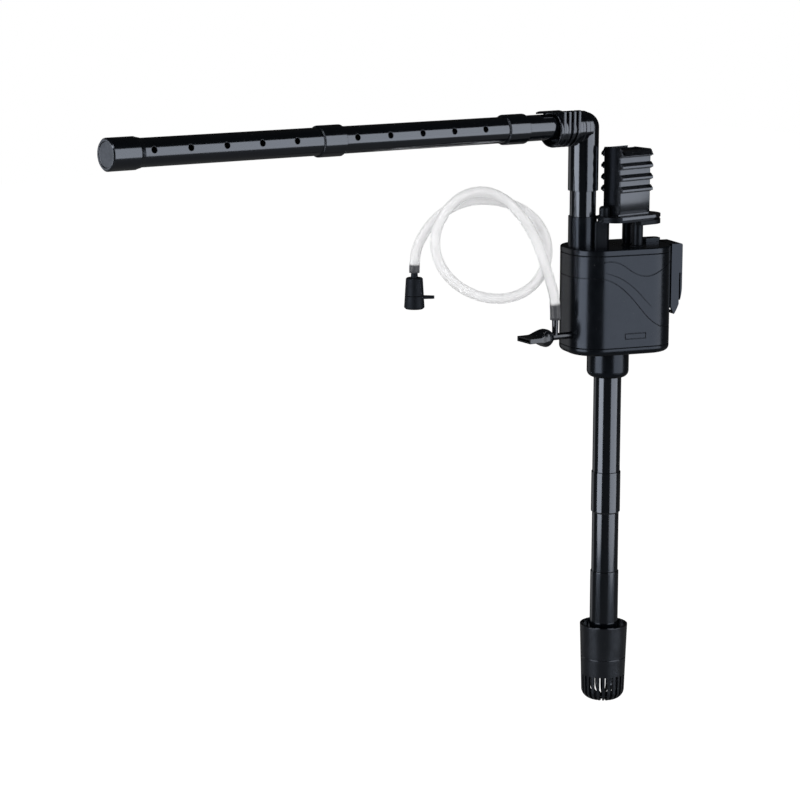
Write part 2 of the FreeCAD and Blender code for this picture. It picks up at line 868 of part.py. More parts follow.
def core_blank():
    """Laminated iron frame round the rotor well, with its winding bridge."""
    top = lid_top - core_drop
    low = top - core_height
    half = well_diameter / 2.0 + 1.0 + core_arm
    left = -block_left + 0.6
    right = core_bridge_start + core_bridge_width
    frame = box(left, right, -half, half, low, top)
    frame = frame.common(inside_casing(block_inset() + core_cover, low, top))
    window_left = -suction_offset + well_diameter / 2.0 + 2.5
    window = box(window_left, core_bridge_start, -coil_width / 2.0,
                 coil_width / 2.0, low - 1, top + 1)
    eye = post(-suction_offset, 0, low - 1, top + 1, well_diameter + 2.0)
    gap = box(left - 1, window_left, -core_pole_gap / 2.0, core_pole_gap / 2.0,
              low - 1, top + 1)
    return cut_all(frame, (window, eye, gap))


def coil_blank():
    """Winding round the core's bridge, as one closed body."""
    top = lid_top - core_drop
    low = top - core_height
    left = core_bridge_start
    right = core_bridge_start + core_bridge_width
    half = coil_width / 2.0
    body = box(left - coil_build, right + coil_build, -half, half,
               low - coil_build, top + coil_build)
    return body.cut(box(left, right, -half - 1, half + 1, low, top))


def block_inset():
    """How far the motor block stands inside the casing's outer face."""
    return casing_wall + skirt_thickness + block_side_gap


def inside_casing(inset, z_low, z_high):
    """Prism that follows the casing's outline at an inset."""
    return rounded_plate(pump_length - 2 * inset, pump_width - 2 * inset,
                         pump_corner_radius - inset, z_low, z_high)


def make_motor_block():
    """Potted motor block with the rotor well open at its foot."""
    upper = lid_bottom - skirt_height - gasket_height - ledge_height
    block = inside_casing(block_inset(), block_bottom(), upper - block_top_gap)
    block = block.common(box(-block_left, pump_length, -pump_width, pump_width,
                             block_bottom() - 1, upper))
    well = post(-suction_offset, 0, block_bottom() - 1, well_top(), well_diameter)
    pocket = post(-suction_offset, 0, well_top() - 1, well_top() + bush_height,
                  bush_diameter + 2 * push_clearance)
    return on_pump(cut_all(block, (core_blank(), coil_blank(), well, pocket)))


def make_stator_core():
    """The iron frame as its own piece."""
    return on_pump(core_blank())


def make_stator_coil():
    """The winding as its own piece."""
    return on_pump(coil_blank())


def make_rotor_shaft():
    """Fixed ceramic shaft between the two bushes."""
    low = chamber_floor_top() - chamber_floor
    shaft = post(-suction_offset, 0, low, well_top() + bush_height - 0.5,
                 shaft_diameter)
    return on_pump(shaft)


def bush(z_low):
    """Soft bush that holds one end of the shaft."""
    ring = post(-suction_offset, 0, z_low, z_low + bush_height, bush_diameter)
    return ring.cut(post(-suction_offset, 0, z_low - 1, z_low + bush_height + 1,
                         shaft_diameter))


def make_upper_bush():
    """Bush at the closed end of the well."""
    return on_pump(bush(well_top()))


def make_rotor_magnet():
    """Permanent magnet that turns on the shaft."""
    top = lid_top - rotor_drop
    magnet = post(-suction_offset, 0, top - rotor_length, top, rotor_diameter)
    bore = post(-suction_offset, 0, top - rotor_length - 1, top + 1,
                shaft_diameter + 2 * running_clearance)
    return on_pump(magnet.cut(bore))


def chamber_floor_top():
    """Level of the impeller chamber's floor."""
    return cover_top + chamber_clearance + chamber_floor


def make_impeller():
    """Impeller with curved blades, pressed on the magnet's foot."""
    plate_top = block_bottom() - 1.0
    plate_low = plate_top - impeller_plate
    blade_low = plate_low - impeller_blade_height
    magnet_low = lid_top - rotor_drop - rotor_length
    x = -suction_offset
    plate = post(x, 0, plate_low, plate_top, impeller_diameter)
    hub = post(x, 0, blade_low, plate_low, impeller_hub_diameter)
    neck = post(x, 0, plate_top, magnet_low, impeller_neck_diameter)
    blades = []
    reach = impeller_diameter / 2.0
    bend = reach * 0.75
    for index in range(impeller_blade_count):
        outer = post(x, bend, blade_low, plate_low, 2 * bend)
        thin = 2 * (bend - impeller_blade_thickness)
        inner = post(x, bend, blade_low - 1, plate_low + 1, thin)
        ring = outer.cut(inner)
        room = post(x, 0, blade_low, plate_low, impeller_diameter)
        side = box(x, x + reach, -reach, 2 * reach, blade_low, plate_low)
        blade = ring.common(room).common(side)
        blade.rotate(Vec(x, 0, 0), Vec(0, 0, 1), 360.0 * index / impeller_blade_count)
        blades.append(blade)
    solid = fuse_all(plate, [hub, neck] + blades)
    bore = post(x, 0, blade_low - 1, magnet_low + 1,
                shaft_diameter + 2 * running_clearance)
    return on_pump(solid.cut(bore))


def make_pump_chamber():
    """Impeller chamber with its eye, lower bush seat and riser duct."""
    floor_top = chamber_floor_top()
    floor_low = floor_top - chamber_floor
    top = block_bottom()
    x = -suction_offset
    ring = post(x, 0, floor_low, top, chamber_diameter)
    duct = post(-riser_offset, 0, floor_low, lid_bottom, duct_diameter)
    bridge = box(-riser_offset, x, -duct_diameter / 2.0, duct_diameter / 2.0,
                 floor_low, floor_top + duct_mouth_height + chamber_floor)
    inner_end = casing_wall + skirt_thickness
    tap = Part.makeCylinder(tap_diameter / 2.0, duct_bore, Vec(0, 0, -inner_end - duct_bore))
    tap.Placement = nozzle_frame().multiply(tap.Placement)
    body = fuse_all(ring, (duct, bridge, tap))
    tap_hole = Part.makeCylinder(tap_bore / 2.0, duct_bore + 1,
                                 Vec(0, 0, -inner_end - duct_bore))
    tap_hole.Placement = nozzle_frame().multiply(tap_hole.Placement)
    half = duct_bore / 2.0
    room = post(x, 0, floor_top, top + 1, chamber_bore)
    eye = post(x, 0, floor_low - 1, floor_top + 1, chamber_eye_diameter)
    rise = post(-riser_offset, 0, floor_top, lid_bottom + 1, duct_bore)
    mouth = box(-riser_offset, x, -half, half, floor_top,
                floor_top + duct_mouth_height)
    body = cut_all(body, (room, eye, rise, mouth, tap_hole))
    spokes = []
    for index in range(chamber_spoke_count):
        spoke = box(x, x + chamber_eye_diameter / 2.0 + 0.5,
                    -chamber_spoke_width / 2.0, chamber_spoke_width / 2.0,
                    floor_low, floor_top)
        spoke.rotate(Vec(x, 0, 0), Vec(0, 0, 1), 120.0 * index)
        spokes.append(spoke)
    hub = post(x, 0, floor_low, floor_top, chamber_hub_diameter)
    body = fuse_all(body, spokes + [hub])
    seat = post(x, 0, floor_low - 1, floor_top + 1,
                shaft_diameter + 2 * push_clearance)
    return on_pump(body.cut(seat))


# ---------------------------------------------------------------- riser
def make_riser_tube():
    """Short riser between the lid's socket and the elbow."""
    socket_top = lid_top + outlet_socket_height
    low = socket_top - outlet_socket_depth
    top = elbow_leg_end + elbow_grip
    profile = [
        (tube_bore / 2.0, low), (spigot_diameter / 2.0, low),
        (spigot_diameter / 2.0, socket_top), (riser_diameter / 2.0, socket_top),
        (riser_diameter / 2.0, top), (tube_bore / 2.0, top),
    ]
    return on_pump(turned(profile, -riser_offset, 0))


def make_elbow():
    """Round-cornered elbow with a ringed bell for the spray bar."""
    leg_radius = elbow_leg_diameter / 2.0
    corner = pump_point(-riser_offset, 0, bar_height)
    leg = Part.makeCylinder(leg_radius, bar_height - elbow_leg_end,
                            Vec(corner.x, corner.y, elbow_leg_end))
    knee = Part.makeSphere(leg_radius, corner)
    root = bell_root_diameter / 2.0
    mouth = bell_mouth_diameter / 2.0
    profile = [(0, 0), (root - 0.4, 0), (root, 0.4)]
    for index in range(bell_ring_count):
        start = bell_ring_first + index * bell_ring_pitch
        rise = bell_ring_height
        profile.append((root, start))
        profile.append((root + rise, start + rise))
        profile.append((root + rise, start + bell_ring_width - rise))
        profile.append((root, start + bell_ring_width))
    cup = bell_length - bell_cup_length
    profile.append((root, cup - 1.5))
    profile.append((mouth - 0.3, cup))
    profile.append((mouth, cup + 1.0))
    profile.append((mouth, bell_length - 0.4))
    profile.append((mouth - 0.4, bell_length))
    profile.append((0, bell_length))
    bell = on_bell(turned(profile))
    outer = fuse_all(leg, (knee, bell, bell_tab()))
    bore = tube_bore / 2.0
    grip = spray_diameter / 2.0 + running_clearance
    riser_grip = riser_diameter / 2.0 + running_clearance
    bend_height = bar_height + bar_lift
    up_bore = Part.makeCylinder(bore, bend_height - elbow_leg_end + 1,
                                Vec(corner.x, corner.y, elbow_leg_end - 1))
    up_grip = Part.makeCylinder(riser_grip, elbow_grip + turn_gap + 1,
                                Vec(corner.x, corner.y, elbow_leg_end - 1))
    bend = Part.makeSphere(bore, corner + Vec(0, 0, bar_lift))
    flare = bell_length - bell_flare_depth
    side = turned([(0, 0), (bore, 0), (bore, flare - bell_grip - turn_gap),
                   (grip, flare - bell_grip - turn_gap), (grip, flare + 1),
                   (0, flare + 1)])
    throat = turned([(0, flare), (bell_mouth_bore / 2.0 - 0.5, flare),
                     (bell_mouth_bore / 2.0, bell_length),
                     (bell_mouth_bore / 2.0, bell_length + 1), (0, bell_length + 1)])
    return cut_all(outer, (up_bore, up_grip, bend, on_bar(side), on_bell(throat)))


def bell_tab():
    """Short hood at the top of the bell's mouth."""
    mouth = bell_mouth_diameter / 2.0
    start = bell_length - 1.0
    end = bell_length + bell_tab_length
    points = [Vec(bell_mouth_bore / 2.0, 0, start), Vec(mouth, 0, start),
              Vec(mouth, 0, end - 0.4), Vec(mouth - 0.4, 0, end),
              Vec(bell_mouth_bore / 2.0, 0, end)]
    face = Part.Face(Part.makePolygon(points + points[:1]))
    tab = face.revolve(Vec(0, 0, 0), Vec(0, 0, 1), bell_tab_angle)
    tab.rotate(Vec(0, 0, 0), Vec(0, 0, 1), -bell_tab_angle / 2.0)
    return on_bell(tab)


# ---------------------------------------------------------------- spray bar
def make_spray_stub():
    """Short plain pipe between the bell and the first length."""
    start = bell_length - bell_flare_depth - bell_grip
    shoulder = collar_two_start - turn_gap
    profile = [
        (tube_bore / 2.0, start), (spray_diameter / 2.0, start),
        (spray_diameter / 2.0, shoulder), (spigot_diameter / 2.0, shoulder),
        (spigot_diameter / 2.0, shoulder + spigot_length),
        (tube_bore / 2.0, shoulder + spigot_length),
    ]
    return on_bar(turned(profile))


def spray_length(start, end, collar_width, tube_width, spigot):
    """One length of the bar: socket, tube and its end."""
    bore = tube_bore / 2.0
    seat = socket_bore / 2.0
    collar = collar_width / 2.0
    radius = tube_width / 2.0
    socket_end = start + collar_length
    deep = start + spigot_length + turn_gap
    profile = [
        (seat, start), (collar - 0.3, start), (collar, start + 0.3),
        (collar, socket_end - collar_edge), (collar - collar_edge, socket_end),
        (radius, socket_end), (radius, end),
    ]
    if spigot:
        profile.append((spigot_diameter / 2.0, end))
        profile.append((spigot_diameter / 2.0, end + spigot_length))
        profile.append((bore, end + spigot_length))
    else:
        profile.append((bore, end))
    profile.append((bore, deep))
    profile.append((seat, deep))
    return turned(profile)


def spray_holes(middle):
    """Row of holes along one length, tilted up from the front."""
    holes = []
    tilt = math.radians(spray_hole_tilt)
    outward = Vec(math.sin(tilt), -math.cos(tilt), 0)
    first = middle - spray_hole_pitch * (spray_hole_count - 1) / 2.0
    for index in range(spray_hole_count):
        at = Vec(0, 0, first + index * spray_hole_pitch)
        hole = Part.makeCylinder(spray_hole_diameter / 2.0, spray_diameter, at, outward)
        holes.append(hole)
    return holes


def make_spray_tube_inner():
    """Length of the bar next to the elbow."""
    end = collar_one_start - turn_gap
    tube = spray_length(collar_two_start, end, collar_diameter, spray_diameter, True)
    middle = collar_two_end + spray_hole_middle
    return on_bar(cut_all(tube, spray_holes(middle)))


def make_spray_tube_outer():
    """Length of the bar that carries the end cap."""
    end = cap_end - end_cap_wall
    tube = spray_length(collar_one_start, end, outer_collar_diameter,
                        outer_tube_diameter, False)
    middle = collar_one_end + spray_hole_middle
    return on_bar(cut_all(tube, spray_holes(middle)))


def make_end_cap():
    """Cap over the far end of the bar."""
    radius = end_cap_diameter / 2.0
    seat = outer_tube_diameter / 2.0 + push_clearance
    profile = [
        (seat, cap_start), (seat + 0.3, cap_start),
        (radius - 0.3, cap_start + end_cap_shoulder * 0.7),
        (radius, cap_start + end_cap_shoulder), (radius, cap_end - 0.8),
        (radius - 0.8, cap_end), (radius - 1.8, cap_end),
        (radius - 2.2, cap_end - 0.5), (0, cap_end - 0.5),
        (0, cap_end - end_cap_wall), (seat, cap_end - end_cap_wall),
    ]
    return on_bar(turned(profile))


# ---------------------------------------------------------------- suction
def make_suction_tube_upper():
    """Tube under the intake collar."""
    radius = upper_tube_diameter / 2.0
    spigot = spigot_diameter / 2.0
    bore = tube_bore / 2.0
    profile = [
        (bore, taper_bottom + upper_tube_grip), (radius, taper_bottom + upper_tube_grip),
        (radius, upper_tube_end), (spigot, upper_tube_end),
        (spigot, upper_tube_end - spigot_length), (bore, upper_tube_end - spigot_length),
    ]
    return on_pump(turned(profile, -suction_offset, 0))


def make_suction_tube_lower():
    """Tube with a long socket at its head."""
    socket = lower_socket_diameter / 2.0
    radius = lower_tube_diameter / 2.0
    spigot = spigot_diameter / 2.0
    seat = socket_bore / 2.0
    bore = tube_bore / 2.0
    profile = [
        (seat, upper_tube_end), (socket - 0.2, upper_tube_end),
        (socket, upper_tube_end - 0.3), (socket, lower_socket_end + 0.8),
        (radius, lower_socket_end), (radius, lower_tube_end),
        (spigot, lower_tube_end), (spigot, lower_tube_end - spigot_length),
        (bore, lower_tube_end - spigot_length), (bore, upper_tube_end - spigot_length),
        (seat, upper_tube_end - spigot_length),
    ]
    return on_pump(turned(profile, -suction_offset, 0))


def strainer_radius(level):
    """Outer radius of the conical basket at a level."""
    top = strainer_top_diameter / 2.0
    low = strainer_bottom_diameter / 2.0
    share = (strainer_top - level) / (strainer_height - strainer_dome_height)
    return top + (low - top) * share


def make_strainer_neck():
    """Neck of the strainer, with the disc that carries the basket."""
    neck = strainer_neck_diameter / 2.0
    seat = socket_bore / 2.0
    bore = tube_bore / 2.0
    disc_top = strainer_top - strainer_plug_drop
    disc_low = disc_top - strainer_plug_thickness
    top_radius = strainer_radius(disc_top) - strainer_wall - push_clearance
    low_radius = strainer_radius(disc_low) - strainer_wall - push_clearance
    deep = lower_tube_end - spigot_length
    profile = [
        (seat, lower_tube_end), (neck - 0.3, lower_tube_end),
        (neck, lower_tube_end - 0.4), (neck, disc_top), (top_radius, disc_top),
        (low_radius, disc_low), (bore, disc_low), (bore, deep), (seat, deep),
    ]
    return on_pump(turned(profile, -suction_offset, 0))


def basket_side(inset, top):
    """Half outline of the basket, from its rim to the foot on the axis."""
    dome_top = strainer_bottom + strainer_dome_height
    x = -suction_offset
    rim = Vec(x + strainer_radius(top) - inset, 0, top)
    waist = Vec(x + strainer_radius(dome_top) - inset, 0, dome_top)
    flat = strainer_flat_diameter / 2.0
    centre = Vec(x, 0, strainer_bottom + inset)
    foot = centre + Vec(flat, 0, 0)
    reach = strainer_radius(dome_top) - inset - flat
    drop = strainer_dome_height - inset
    middle = Vec(foot.x + reach * 0.72, 0, dome_top - drop * 0.68)
    edges = [
        Part.LineSegment(Vec(x, 0, top), rim).toShape(),
        Part.LineSegment(rim, waist).toShape(),
        Part.Arc(waist, middle, foot).toShape(),
        Part.LineSegment(foot, centre).toShape(),
        Part.LineSegment(centre, Vec(x, 0, top)).toShape(),
    ]
    face = Part.Face(Part.Wire(edges))
    return face.revolve(Vec(x, 0, 0), Vec(0, 0, 1), 360)


def make_strainer_basket():
    """Slotted basket with a rounded foot."""
    shell = basket_side(0, strainer_top)
    shell = shell.cut(basket_side(strainer_wall, strainer_top + 1.0))
    slot_top = strainer_top - strainer_slot_top
    cutters = []
    near = strainer_floor_diameter / 2.0
    side = strainer_bottom_diameter / 2.0
    reach = strainer_top_diameter
    thin = strainer_slot_foot_width / 2.0
    half = strainer_slot_width / 2.0
    corners = [Vec(near, -thin, 0), Vec(side, -half, 0), Vec(reach, -half, 0),
               Vec(reach, half, 0), Vec(side, half, 0), Vec(near, thin, 0)]
    outline = Part.Face(Part.makePolygon(corners + corners[:1]))
    outline.translate(Vec(0, 0, strainer_bottom - 1))
    for index in range(strainer_slot_count):
        slot = outline.extrude(Vec(0, 0, slot_top - strainer_bottom + 1))
        slot.rotate(Vec(0, 0, 0), Vec(0, 0, 1), 360.0 * index / strainer_slot_count)
        slot.translate(Vec(-suction_offset, 0, 0))
        cutters.append(slot)
    comb = cutters[0].multiFuse(cutters[1:])
    seam = strainer_top - strainer_seam_drop
    ring = strainer_radius(seam)
    size = strainer_seam_size
    groove = turned([(ring - size, seam), (ring + size, seam + size),
                     (ring + size, seam - size)], -suction_offset, 0)
    return on_pump(cut_all(shell, (comb, groove)))


# ---------------------------------------------------------------- air inlet
def make_venturi_tee():
    """Stub in the casing's end, with the upright hose barb."""
    inner_end = casing_wall + skirt_thickness
    stub = Part.makeCylinder(stub_diameter / 2.0,
                             barb_distance + stub_diameter / 2.0 + inner_end,
                             Vec(0, 0, -inner_end))
    spigot_start = barb_distance + stub_diameter / 2.0
    spigot = Part.makeCylinder(duckbill_spigot_diameter / 2.0,
                               duckbill_grip + turn_gap, Vec(0, 0, spigot_start))
    bore = Part.makeCylinder(stub_bore / 2.0,
                             spigot_start + duckbill_grip + inner_end + 2,
                             Vec(0, 0, -inner_end - 1))
    body = on_nozzle(fuse_all(stub, (spigot,)))
    centre = barb_centre()
    height = barb_foot_height
    barb = barbed(centre.x, centre.y, centre.z, barb_length,
                  barb_foot_diameter, height)
    body = fuse_all(body, (barb,))
    drill = post(centre.x, centre.y, centre.z, centre.z + height + barb_length,
                 barb_bore)
    return cut_all(body, (on_nozzle(bore), drill))


def barb_centre():
    """Where the barb's axis meets the nozzle's axis, in the part's frame."""
    frame = nozzle_frame()
    at = frame.multVec(Vec(0, 0, barb_distance))
    return pump_point(at.x, at.y, at.z)


def duckbill_station(share, inset):
    """Rounded rectangle of the duckbill at a share of its length."""
    neck = duckbill_neck_diameter
    mouth_w = duckbill_mouth_width
    mouth_h = duckbill_mouth_height
    if share < duckbill_bulb_share:
        swell = math.sin(math.pi / 2.0 * share / duckbill_bulb_share)
        width = neck + (duckbill_bulb_width - neck) * swell
        height = neck + (duckbill_bulb_height - neck) * swell
        corner = 0.46 * height
    else:
        fall = (share - duckbill_bulb_share) / (duckbill_flat_share - duckbill_bulb_share)
        fall = min(fall, 1.0)
        swell = 0.5 + 0.5 * math.cos(math.pi * fall)
        width = mouth_w + (duckbill_bulb_width - mouth_w) * swell
        height = mouth_h + (duckbill_bulb_height - mouth_h) * swell
        corner = (0.12 + 0.34 * swell) * height
    width = width - 2 * inset
    height = height - 2 * inset
    return width, height, min(max(corner - inset, 0.15), 0.46 * height)


def duckbill_loft(shares, inset, start):
    """Body through the duckbill's outlines, straight between them."""
    wires = []
    for share in shares:
        width, height, corner = duckbill_station(share, inset)
        level = start + share * duckbill_length
        wires.append(rounded_wire(width, height, corner, level))
    return Part.makeLoft(wires, True, True)


def make_duckbill():
    """Flat-mouthed outlet with a round bulb, hollow from neck to mouth."""
    start = barb_distance + stub_diameter / 2.0 + turn_gap
    outside = (0, 0.03, 0.08, 0.14, 0.2, duckbill_bulb_share, 0.34, 0.4, 0.46,
               0.52, 0.58, duckbill_flat_share, 1.0)
    body = duckbill_loft(outside, 0, start)
    inside = (duckbill_grip / duckbill_length, 0.34, 0.4, 0.46,
              0.52, 0.58, duckbill_flat_share, 1.02)
    hollow = duckbill_loft(inside, duckbill_wall, start)
    seat = Part.makeCylinder(duckbill_spigot_diameter / 2.0 + running_clearance,
                             duckbill_grip + 1.5, Vec(0, 0, start - 0.5))
    return on_nozzle(cut_all(body, (hollow, seat)))


# ---------------------------------------------------------------- air hose
def route_pieces(points):
    """Straight runs and tangent arcs through the hose's points."""
    edges = []
    radii = []
    cursor = points[0]
    for index in range(1, len(points) - 1):
        before = points[index] - points[index - 1]
        after = points[index + 1] - points[index]
        shorter = min(before.Length, after.Length)
        before.normalize()
        after.normalize()
        turn = before.getAngle(after)
        radius = hose_arc_share * shorter / math.tan(turn / 2.0)
        reach = radius * math.tan(turn / 2.0)
        start = points[index] - before * reach
        end = points[index] + after * reach
        inward = after - before
        inward.normalize()
        centre = points[index] + inward * (radius / math.cos(turn / 2.0))
        middle = centre - inward * radius
        edges.append(Part.LineSegment(cursor, start).toShape())
        edges.append(Part.Arc(start, middle, end).toShape())
        radii.append(radius)
        cursor = end
    edges.append(Part.LineSegment(cursor, points[-1]).toShape())
    return edges, radii


def swept_rod(path, diameter):
    """Round rod along the hose's path."""
    start = hose_route[0]
    heading = hose_route[1] - hose_route[0]
    ring = Part.Wire(Part.makeCircle(diameter / 2.0, start, heading))
    return path.makePipeShell([ring], True, False)


def least_self_gap(edges):
    """Smallest gap between strands of the hose that aren't neighbours."""
    samples = []
    walked = 0.0
    for edge in edges:
        count = max(2, int(edge.Length / 1.0))
        for point in edge.discretize(count):
            samples.append((walked, point))
        walked = walked + edge.Length
    least = walked
    for index, (walk_a, point_a) in enumerate(samples):
        for walk_b, point_b in samples[index + 1:]:
            if walk_b - walk_a > 60.0:
                least = min(least, point_a.distanceToPoint(point_b))
    return least - hose_diameter


def make_air_tube():
    """Clear hose from the barb round its coil to the regulator."""
    edges, radii = route_pieces(hose_route)
    path = Part.Wire(edges)
    hose = swept_rod(path, hose_diameter).cut(swept_rod(path, hose_bore))
    section = math.pi * (hose_diameter ** 2 - hose_bore ** 2) / 4.0
    print("hose length %.1f mm" % path.Length)
    print("hose radii " + " ".join("%.1f" % radius for radius in radii))
    print("hose volume %.1f, section x length %.1f"
          % (hose.Volume, section * path.Length))
    print("hose least self gap %.2f mm" % least_self_gap(edges))
    return hose


# ---------------------------------------------------------------- air valve
def valve_top():
    """Level of the regulator's shoulder, under the hose's end."""
    return hose_route[-1].z - valve_neck_height


def make_valve_body():
    """Upper half of the air regulator, with its barb."""
    end = hose_route[-1]
    top = valve_top()
    seam = top - valve_upper_height
    upper = valve_top_diameter / 2.0
    lower = valve_seam_diameter / 2.0
    pivot = valve_pivot_diameter / 2.0
    profile = [
        (0, seam - valve_pivot_length), (pivot, seam - valve_pivot_length),
        (pivot, seam), (lower, seam), (upper, top - 0.6), (upper - 0.6, top),
        (0, top),
    ]
    body = turned(profile, end.x, end.y)
    barb = barbed(end.x, end.y, top, valve_barb_length, valve_neck_diameter,
                  valve_neck_height)
    body = fuse_all(body, (barb,))
    drill = post(end.x, end.y, seam - valve_pivot_length - 1,
                 top + valve_neck_height + valve_barb_length + 1, barb_bore)
    return body.cut(drill)


def make_valve_cap():
    """Lower half, which is turned by its small lever to set the air."""
    end = hose_route[-1]
    seam = valve_top() - valve_upper_height - turn_gap
    low = seam - valve_cap_height
    upper = valve_seam_diameter / 2.0
    foot = valve_foot_diameter / 2.0
    bore = valve_pivot_diameter / 2.0 + running_clearance
    deep = seam - valve_pivot_length - turn_gap
    profile = [
        (bore, seam), (upper, seam), (foot, low + 0.9), (foot - 0.9, low),
        (0, low), (0, deep), (bore, deep),
    ]
    cap = turned(profile, end.x, end.y)
    half = valve_lever_width / 2.0
    thin = valve_lever_tip_width / 2.0
    reach = upper + valve_lever_length - thin
    bottom = seam - valve_lever_thickness
    corners = [Vec(bore + 0.8, -half, bottom), Vec(reach, -thin, bottom),
               Vec(reach, thin, bottom), Vec(bore + 0.8, half, bottom)]
    lever = Part.Face(Part.makePolygon(corners + corners[:1]))
    lever = lever.extrude(Vec(0, 0, valve_lever_thickness))
    lever = lever.fuse(post(reach, 0, bottom, seam, valve_lever_tip_width))
    lever.rotate(Vec(0, 0, 0), Vec(0, 0, 1), valve_lever_yaw)
    lever.translate(Vec(end.x, end.y, 0))
    cap = fuse_all(cap, (lever,))
    inlet = post(end.x, end.y, low - 1, deep + 1, valve_inlet_diameter)
    return cap.cut(inlet)


# ---------------------------------------------------------------- output
pieces = {
    "hanger_post": make_hanger_post,
    "hanger_yoke": make_hanger_yoke,
    "pump_casing": make_pump_casing,
    "top_lid": make_top_lid,
    "bottom_cover": make_bottom_cover,
    "lid_gasket": make_lid_gasket,
    "cover_gasket": make_cover_gasket,
    "cord_gland": make_cord_gland,
    "latch_clip": make_latch_clip,
    "latch_pin": make_latch_pin,
    "motor_block": make_motor_block,
    "stator_core": make_stator_core,
    "stator_coil": make_stator_coil,
    "rotor_shaft": make_rotor_shaft,
    "upper_bush": make_upper_bush,
    "rotor_magnet": make_rotor_magnet,
    "impeller": make_impeller,
    "pump_chamber": make_pump_chamber,
    "riser_tube": make_riser_tube,
    "elbow": make_elbow,
    "spray_stub": make_spray_stub,
    "spray_tube_inner": make_spray_tube_inner,
    "spray_tube_outer": make_spray_tube_outer,
    "end_cap": make_end_cap,
    "suction_tube_upper": make_suction_tube_upper,
    "suction_tube_lower": make_suction_tube_lower,
    "strainer_neck": make_strainer_neck,
    "strainer_basket": make_strainer_basket,
    "venturi_tee": make_venturi_tee,
    "duckbill": make_duckbill,
    "air_tube": make_air_tube,
    "valve_body": make_valve_body,
    "valve_cap": make_valve_cap,
}

os.makedirs("parts", exist_ok=True)
for name, make in pieces.items():
    shape = make()
    shape.exportStep("parts/" + name + ".step")
    print("%-20s solids %d  valid %s  volume %.1f"
          % (name, len(shape.Solids), shape.isValid(), shape.Volume))
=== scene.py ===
"""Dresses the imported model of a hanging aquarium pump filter.

The pump hangs on a ribbed post.  Glossy black pipes lead up to the spray bar
and down to the strainer, and a clear air hose runs in a loose coil from the
duckbill outlet to its regulator.

Metres, in the model's own frame: +Z up, the spray bar towards -X.
"""
import bpy
import bmesh
import math
from mathutils import Matrix, Vector


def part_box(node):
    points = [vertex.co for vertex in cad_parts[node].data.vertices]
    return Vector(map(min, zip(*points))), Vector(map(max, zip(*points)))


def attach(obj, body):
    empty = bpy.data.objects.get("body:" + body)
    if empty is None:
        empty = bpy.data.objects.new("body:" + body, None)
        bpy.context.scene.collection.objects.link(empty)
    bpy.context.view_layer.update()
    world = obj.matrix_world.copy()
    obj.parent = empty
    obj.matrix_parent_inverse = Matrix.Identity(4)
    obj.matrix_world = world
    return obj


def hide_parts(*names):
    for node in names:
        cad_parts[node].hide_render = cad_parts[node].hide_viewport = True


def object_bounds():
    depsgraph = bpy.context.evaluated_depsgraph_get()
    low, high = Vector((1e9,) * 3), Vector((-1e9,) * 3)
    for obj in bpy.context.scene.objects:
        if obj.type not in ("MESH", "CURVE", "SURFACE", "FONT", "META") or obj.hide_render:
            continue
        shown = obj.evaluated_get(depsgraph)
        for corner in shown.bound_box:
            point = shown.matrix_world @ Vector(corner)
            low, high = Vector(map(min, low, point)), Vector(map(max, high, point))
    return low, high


bl_info = {
    "name": "Hanging Pump Filter",
    "version": (1, 0, 0),
    "blender": (4, 5, 0),
    "location": "View3D > Sidebar > Pump Filter",
    "description": "Materials, air hose, winding and studio for a hanging pump filter",
    "category": "Object",
}

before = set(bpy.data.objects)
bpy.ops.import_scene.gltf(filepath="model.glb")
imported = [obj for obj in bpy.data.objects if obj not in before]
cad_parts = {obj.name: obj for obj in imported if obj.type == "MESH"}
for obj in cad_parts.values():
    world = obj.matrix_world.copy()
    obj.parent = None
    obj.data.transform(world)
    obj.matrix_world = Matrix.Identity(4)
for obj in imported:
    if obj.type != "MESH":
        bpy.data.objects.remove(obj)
cad_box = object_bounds()

MM = 0.001

# The hose's route, from the barb at the duckbill round the loose coil to the
# regulator's barb: the control points of one smooth spline.
HOSE_ROUTE = (
    (-0.0458, 0.0111, -0.0609),
    (-0.0458, 0.0111, -0.0490),
    (-0.0499, 0.0117, -0.0362),
    (-0.0538, 0.0126, -0.0254),
    (-0.0582, 0.0151, -0.0116),
    (-0.0646, 0.0198, 0.0018),
    (-0.0735, 0.0267, 0.0132),
    (-0.0839, 0.0350, 0.0176),
    (-0.0935, 0.0428, 0.0139),
    (-0.1010, 0.0493, 0.0037),
    (-0.1049, 0.0530, -0.0092),
    (-0.1039, 0.0530, -0.0222),
    (-0.0986, 0.0498, -0.0339),
    (-0.0902, 0.0444, -0.0426),
    (-0.0799, 0.0376, -0.0478),
    (-0.0688, 0.0305, -0.0487),
    (-0.0588, 0.0241, -0.0450),
    (-0.0511, 0.0195, -0.0368),
    (-0.0470, 0.0171, -0.0252),
    (-0.0474, 0.0178, -0.0124),
    (-0.0524, 0.0217, -0.0013),
    (-0.0606, 0.0281, 0.0064),
    (-0.0713, 0.0361, 0.0106),
    (-0.0829, 0.0449, 0.0108),
    (-0.0933, 0.0527, 0.0063),
    (-0.1020, 0.0593, -0.0026),
    (-0.1078, 0.0635, -0.0134),
    (-0.1104, 0.0654, -0.0240),
    (-0.1104, 0.0654, -0.0330),
)


# How far the hose goes over each barb, and how soon it narrows after it.
TEE_BARB = 9.5 * MM
VALVE_BARB = 4.8 * MM
BARB_FADE = 3.0 * MM


# ---------------------------------------------------------------- node tools
def add(tree, kind, inputs=None, **settings):
    """One node; an input takes a value, or the output that feeds it."""
    made = tree.nodes.new(kind)
    for name, value in settings.items():
        setattr(made, name, value)
    for name, value in (inputs or {}).items():
        if isinstance(value, bpy.types.NodeSocket):
            tree.links.new(value, made.inputs[name])
        else:
            made.inputs[name].default_value = value
    return made


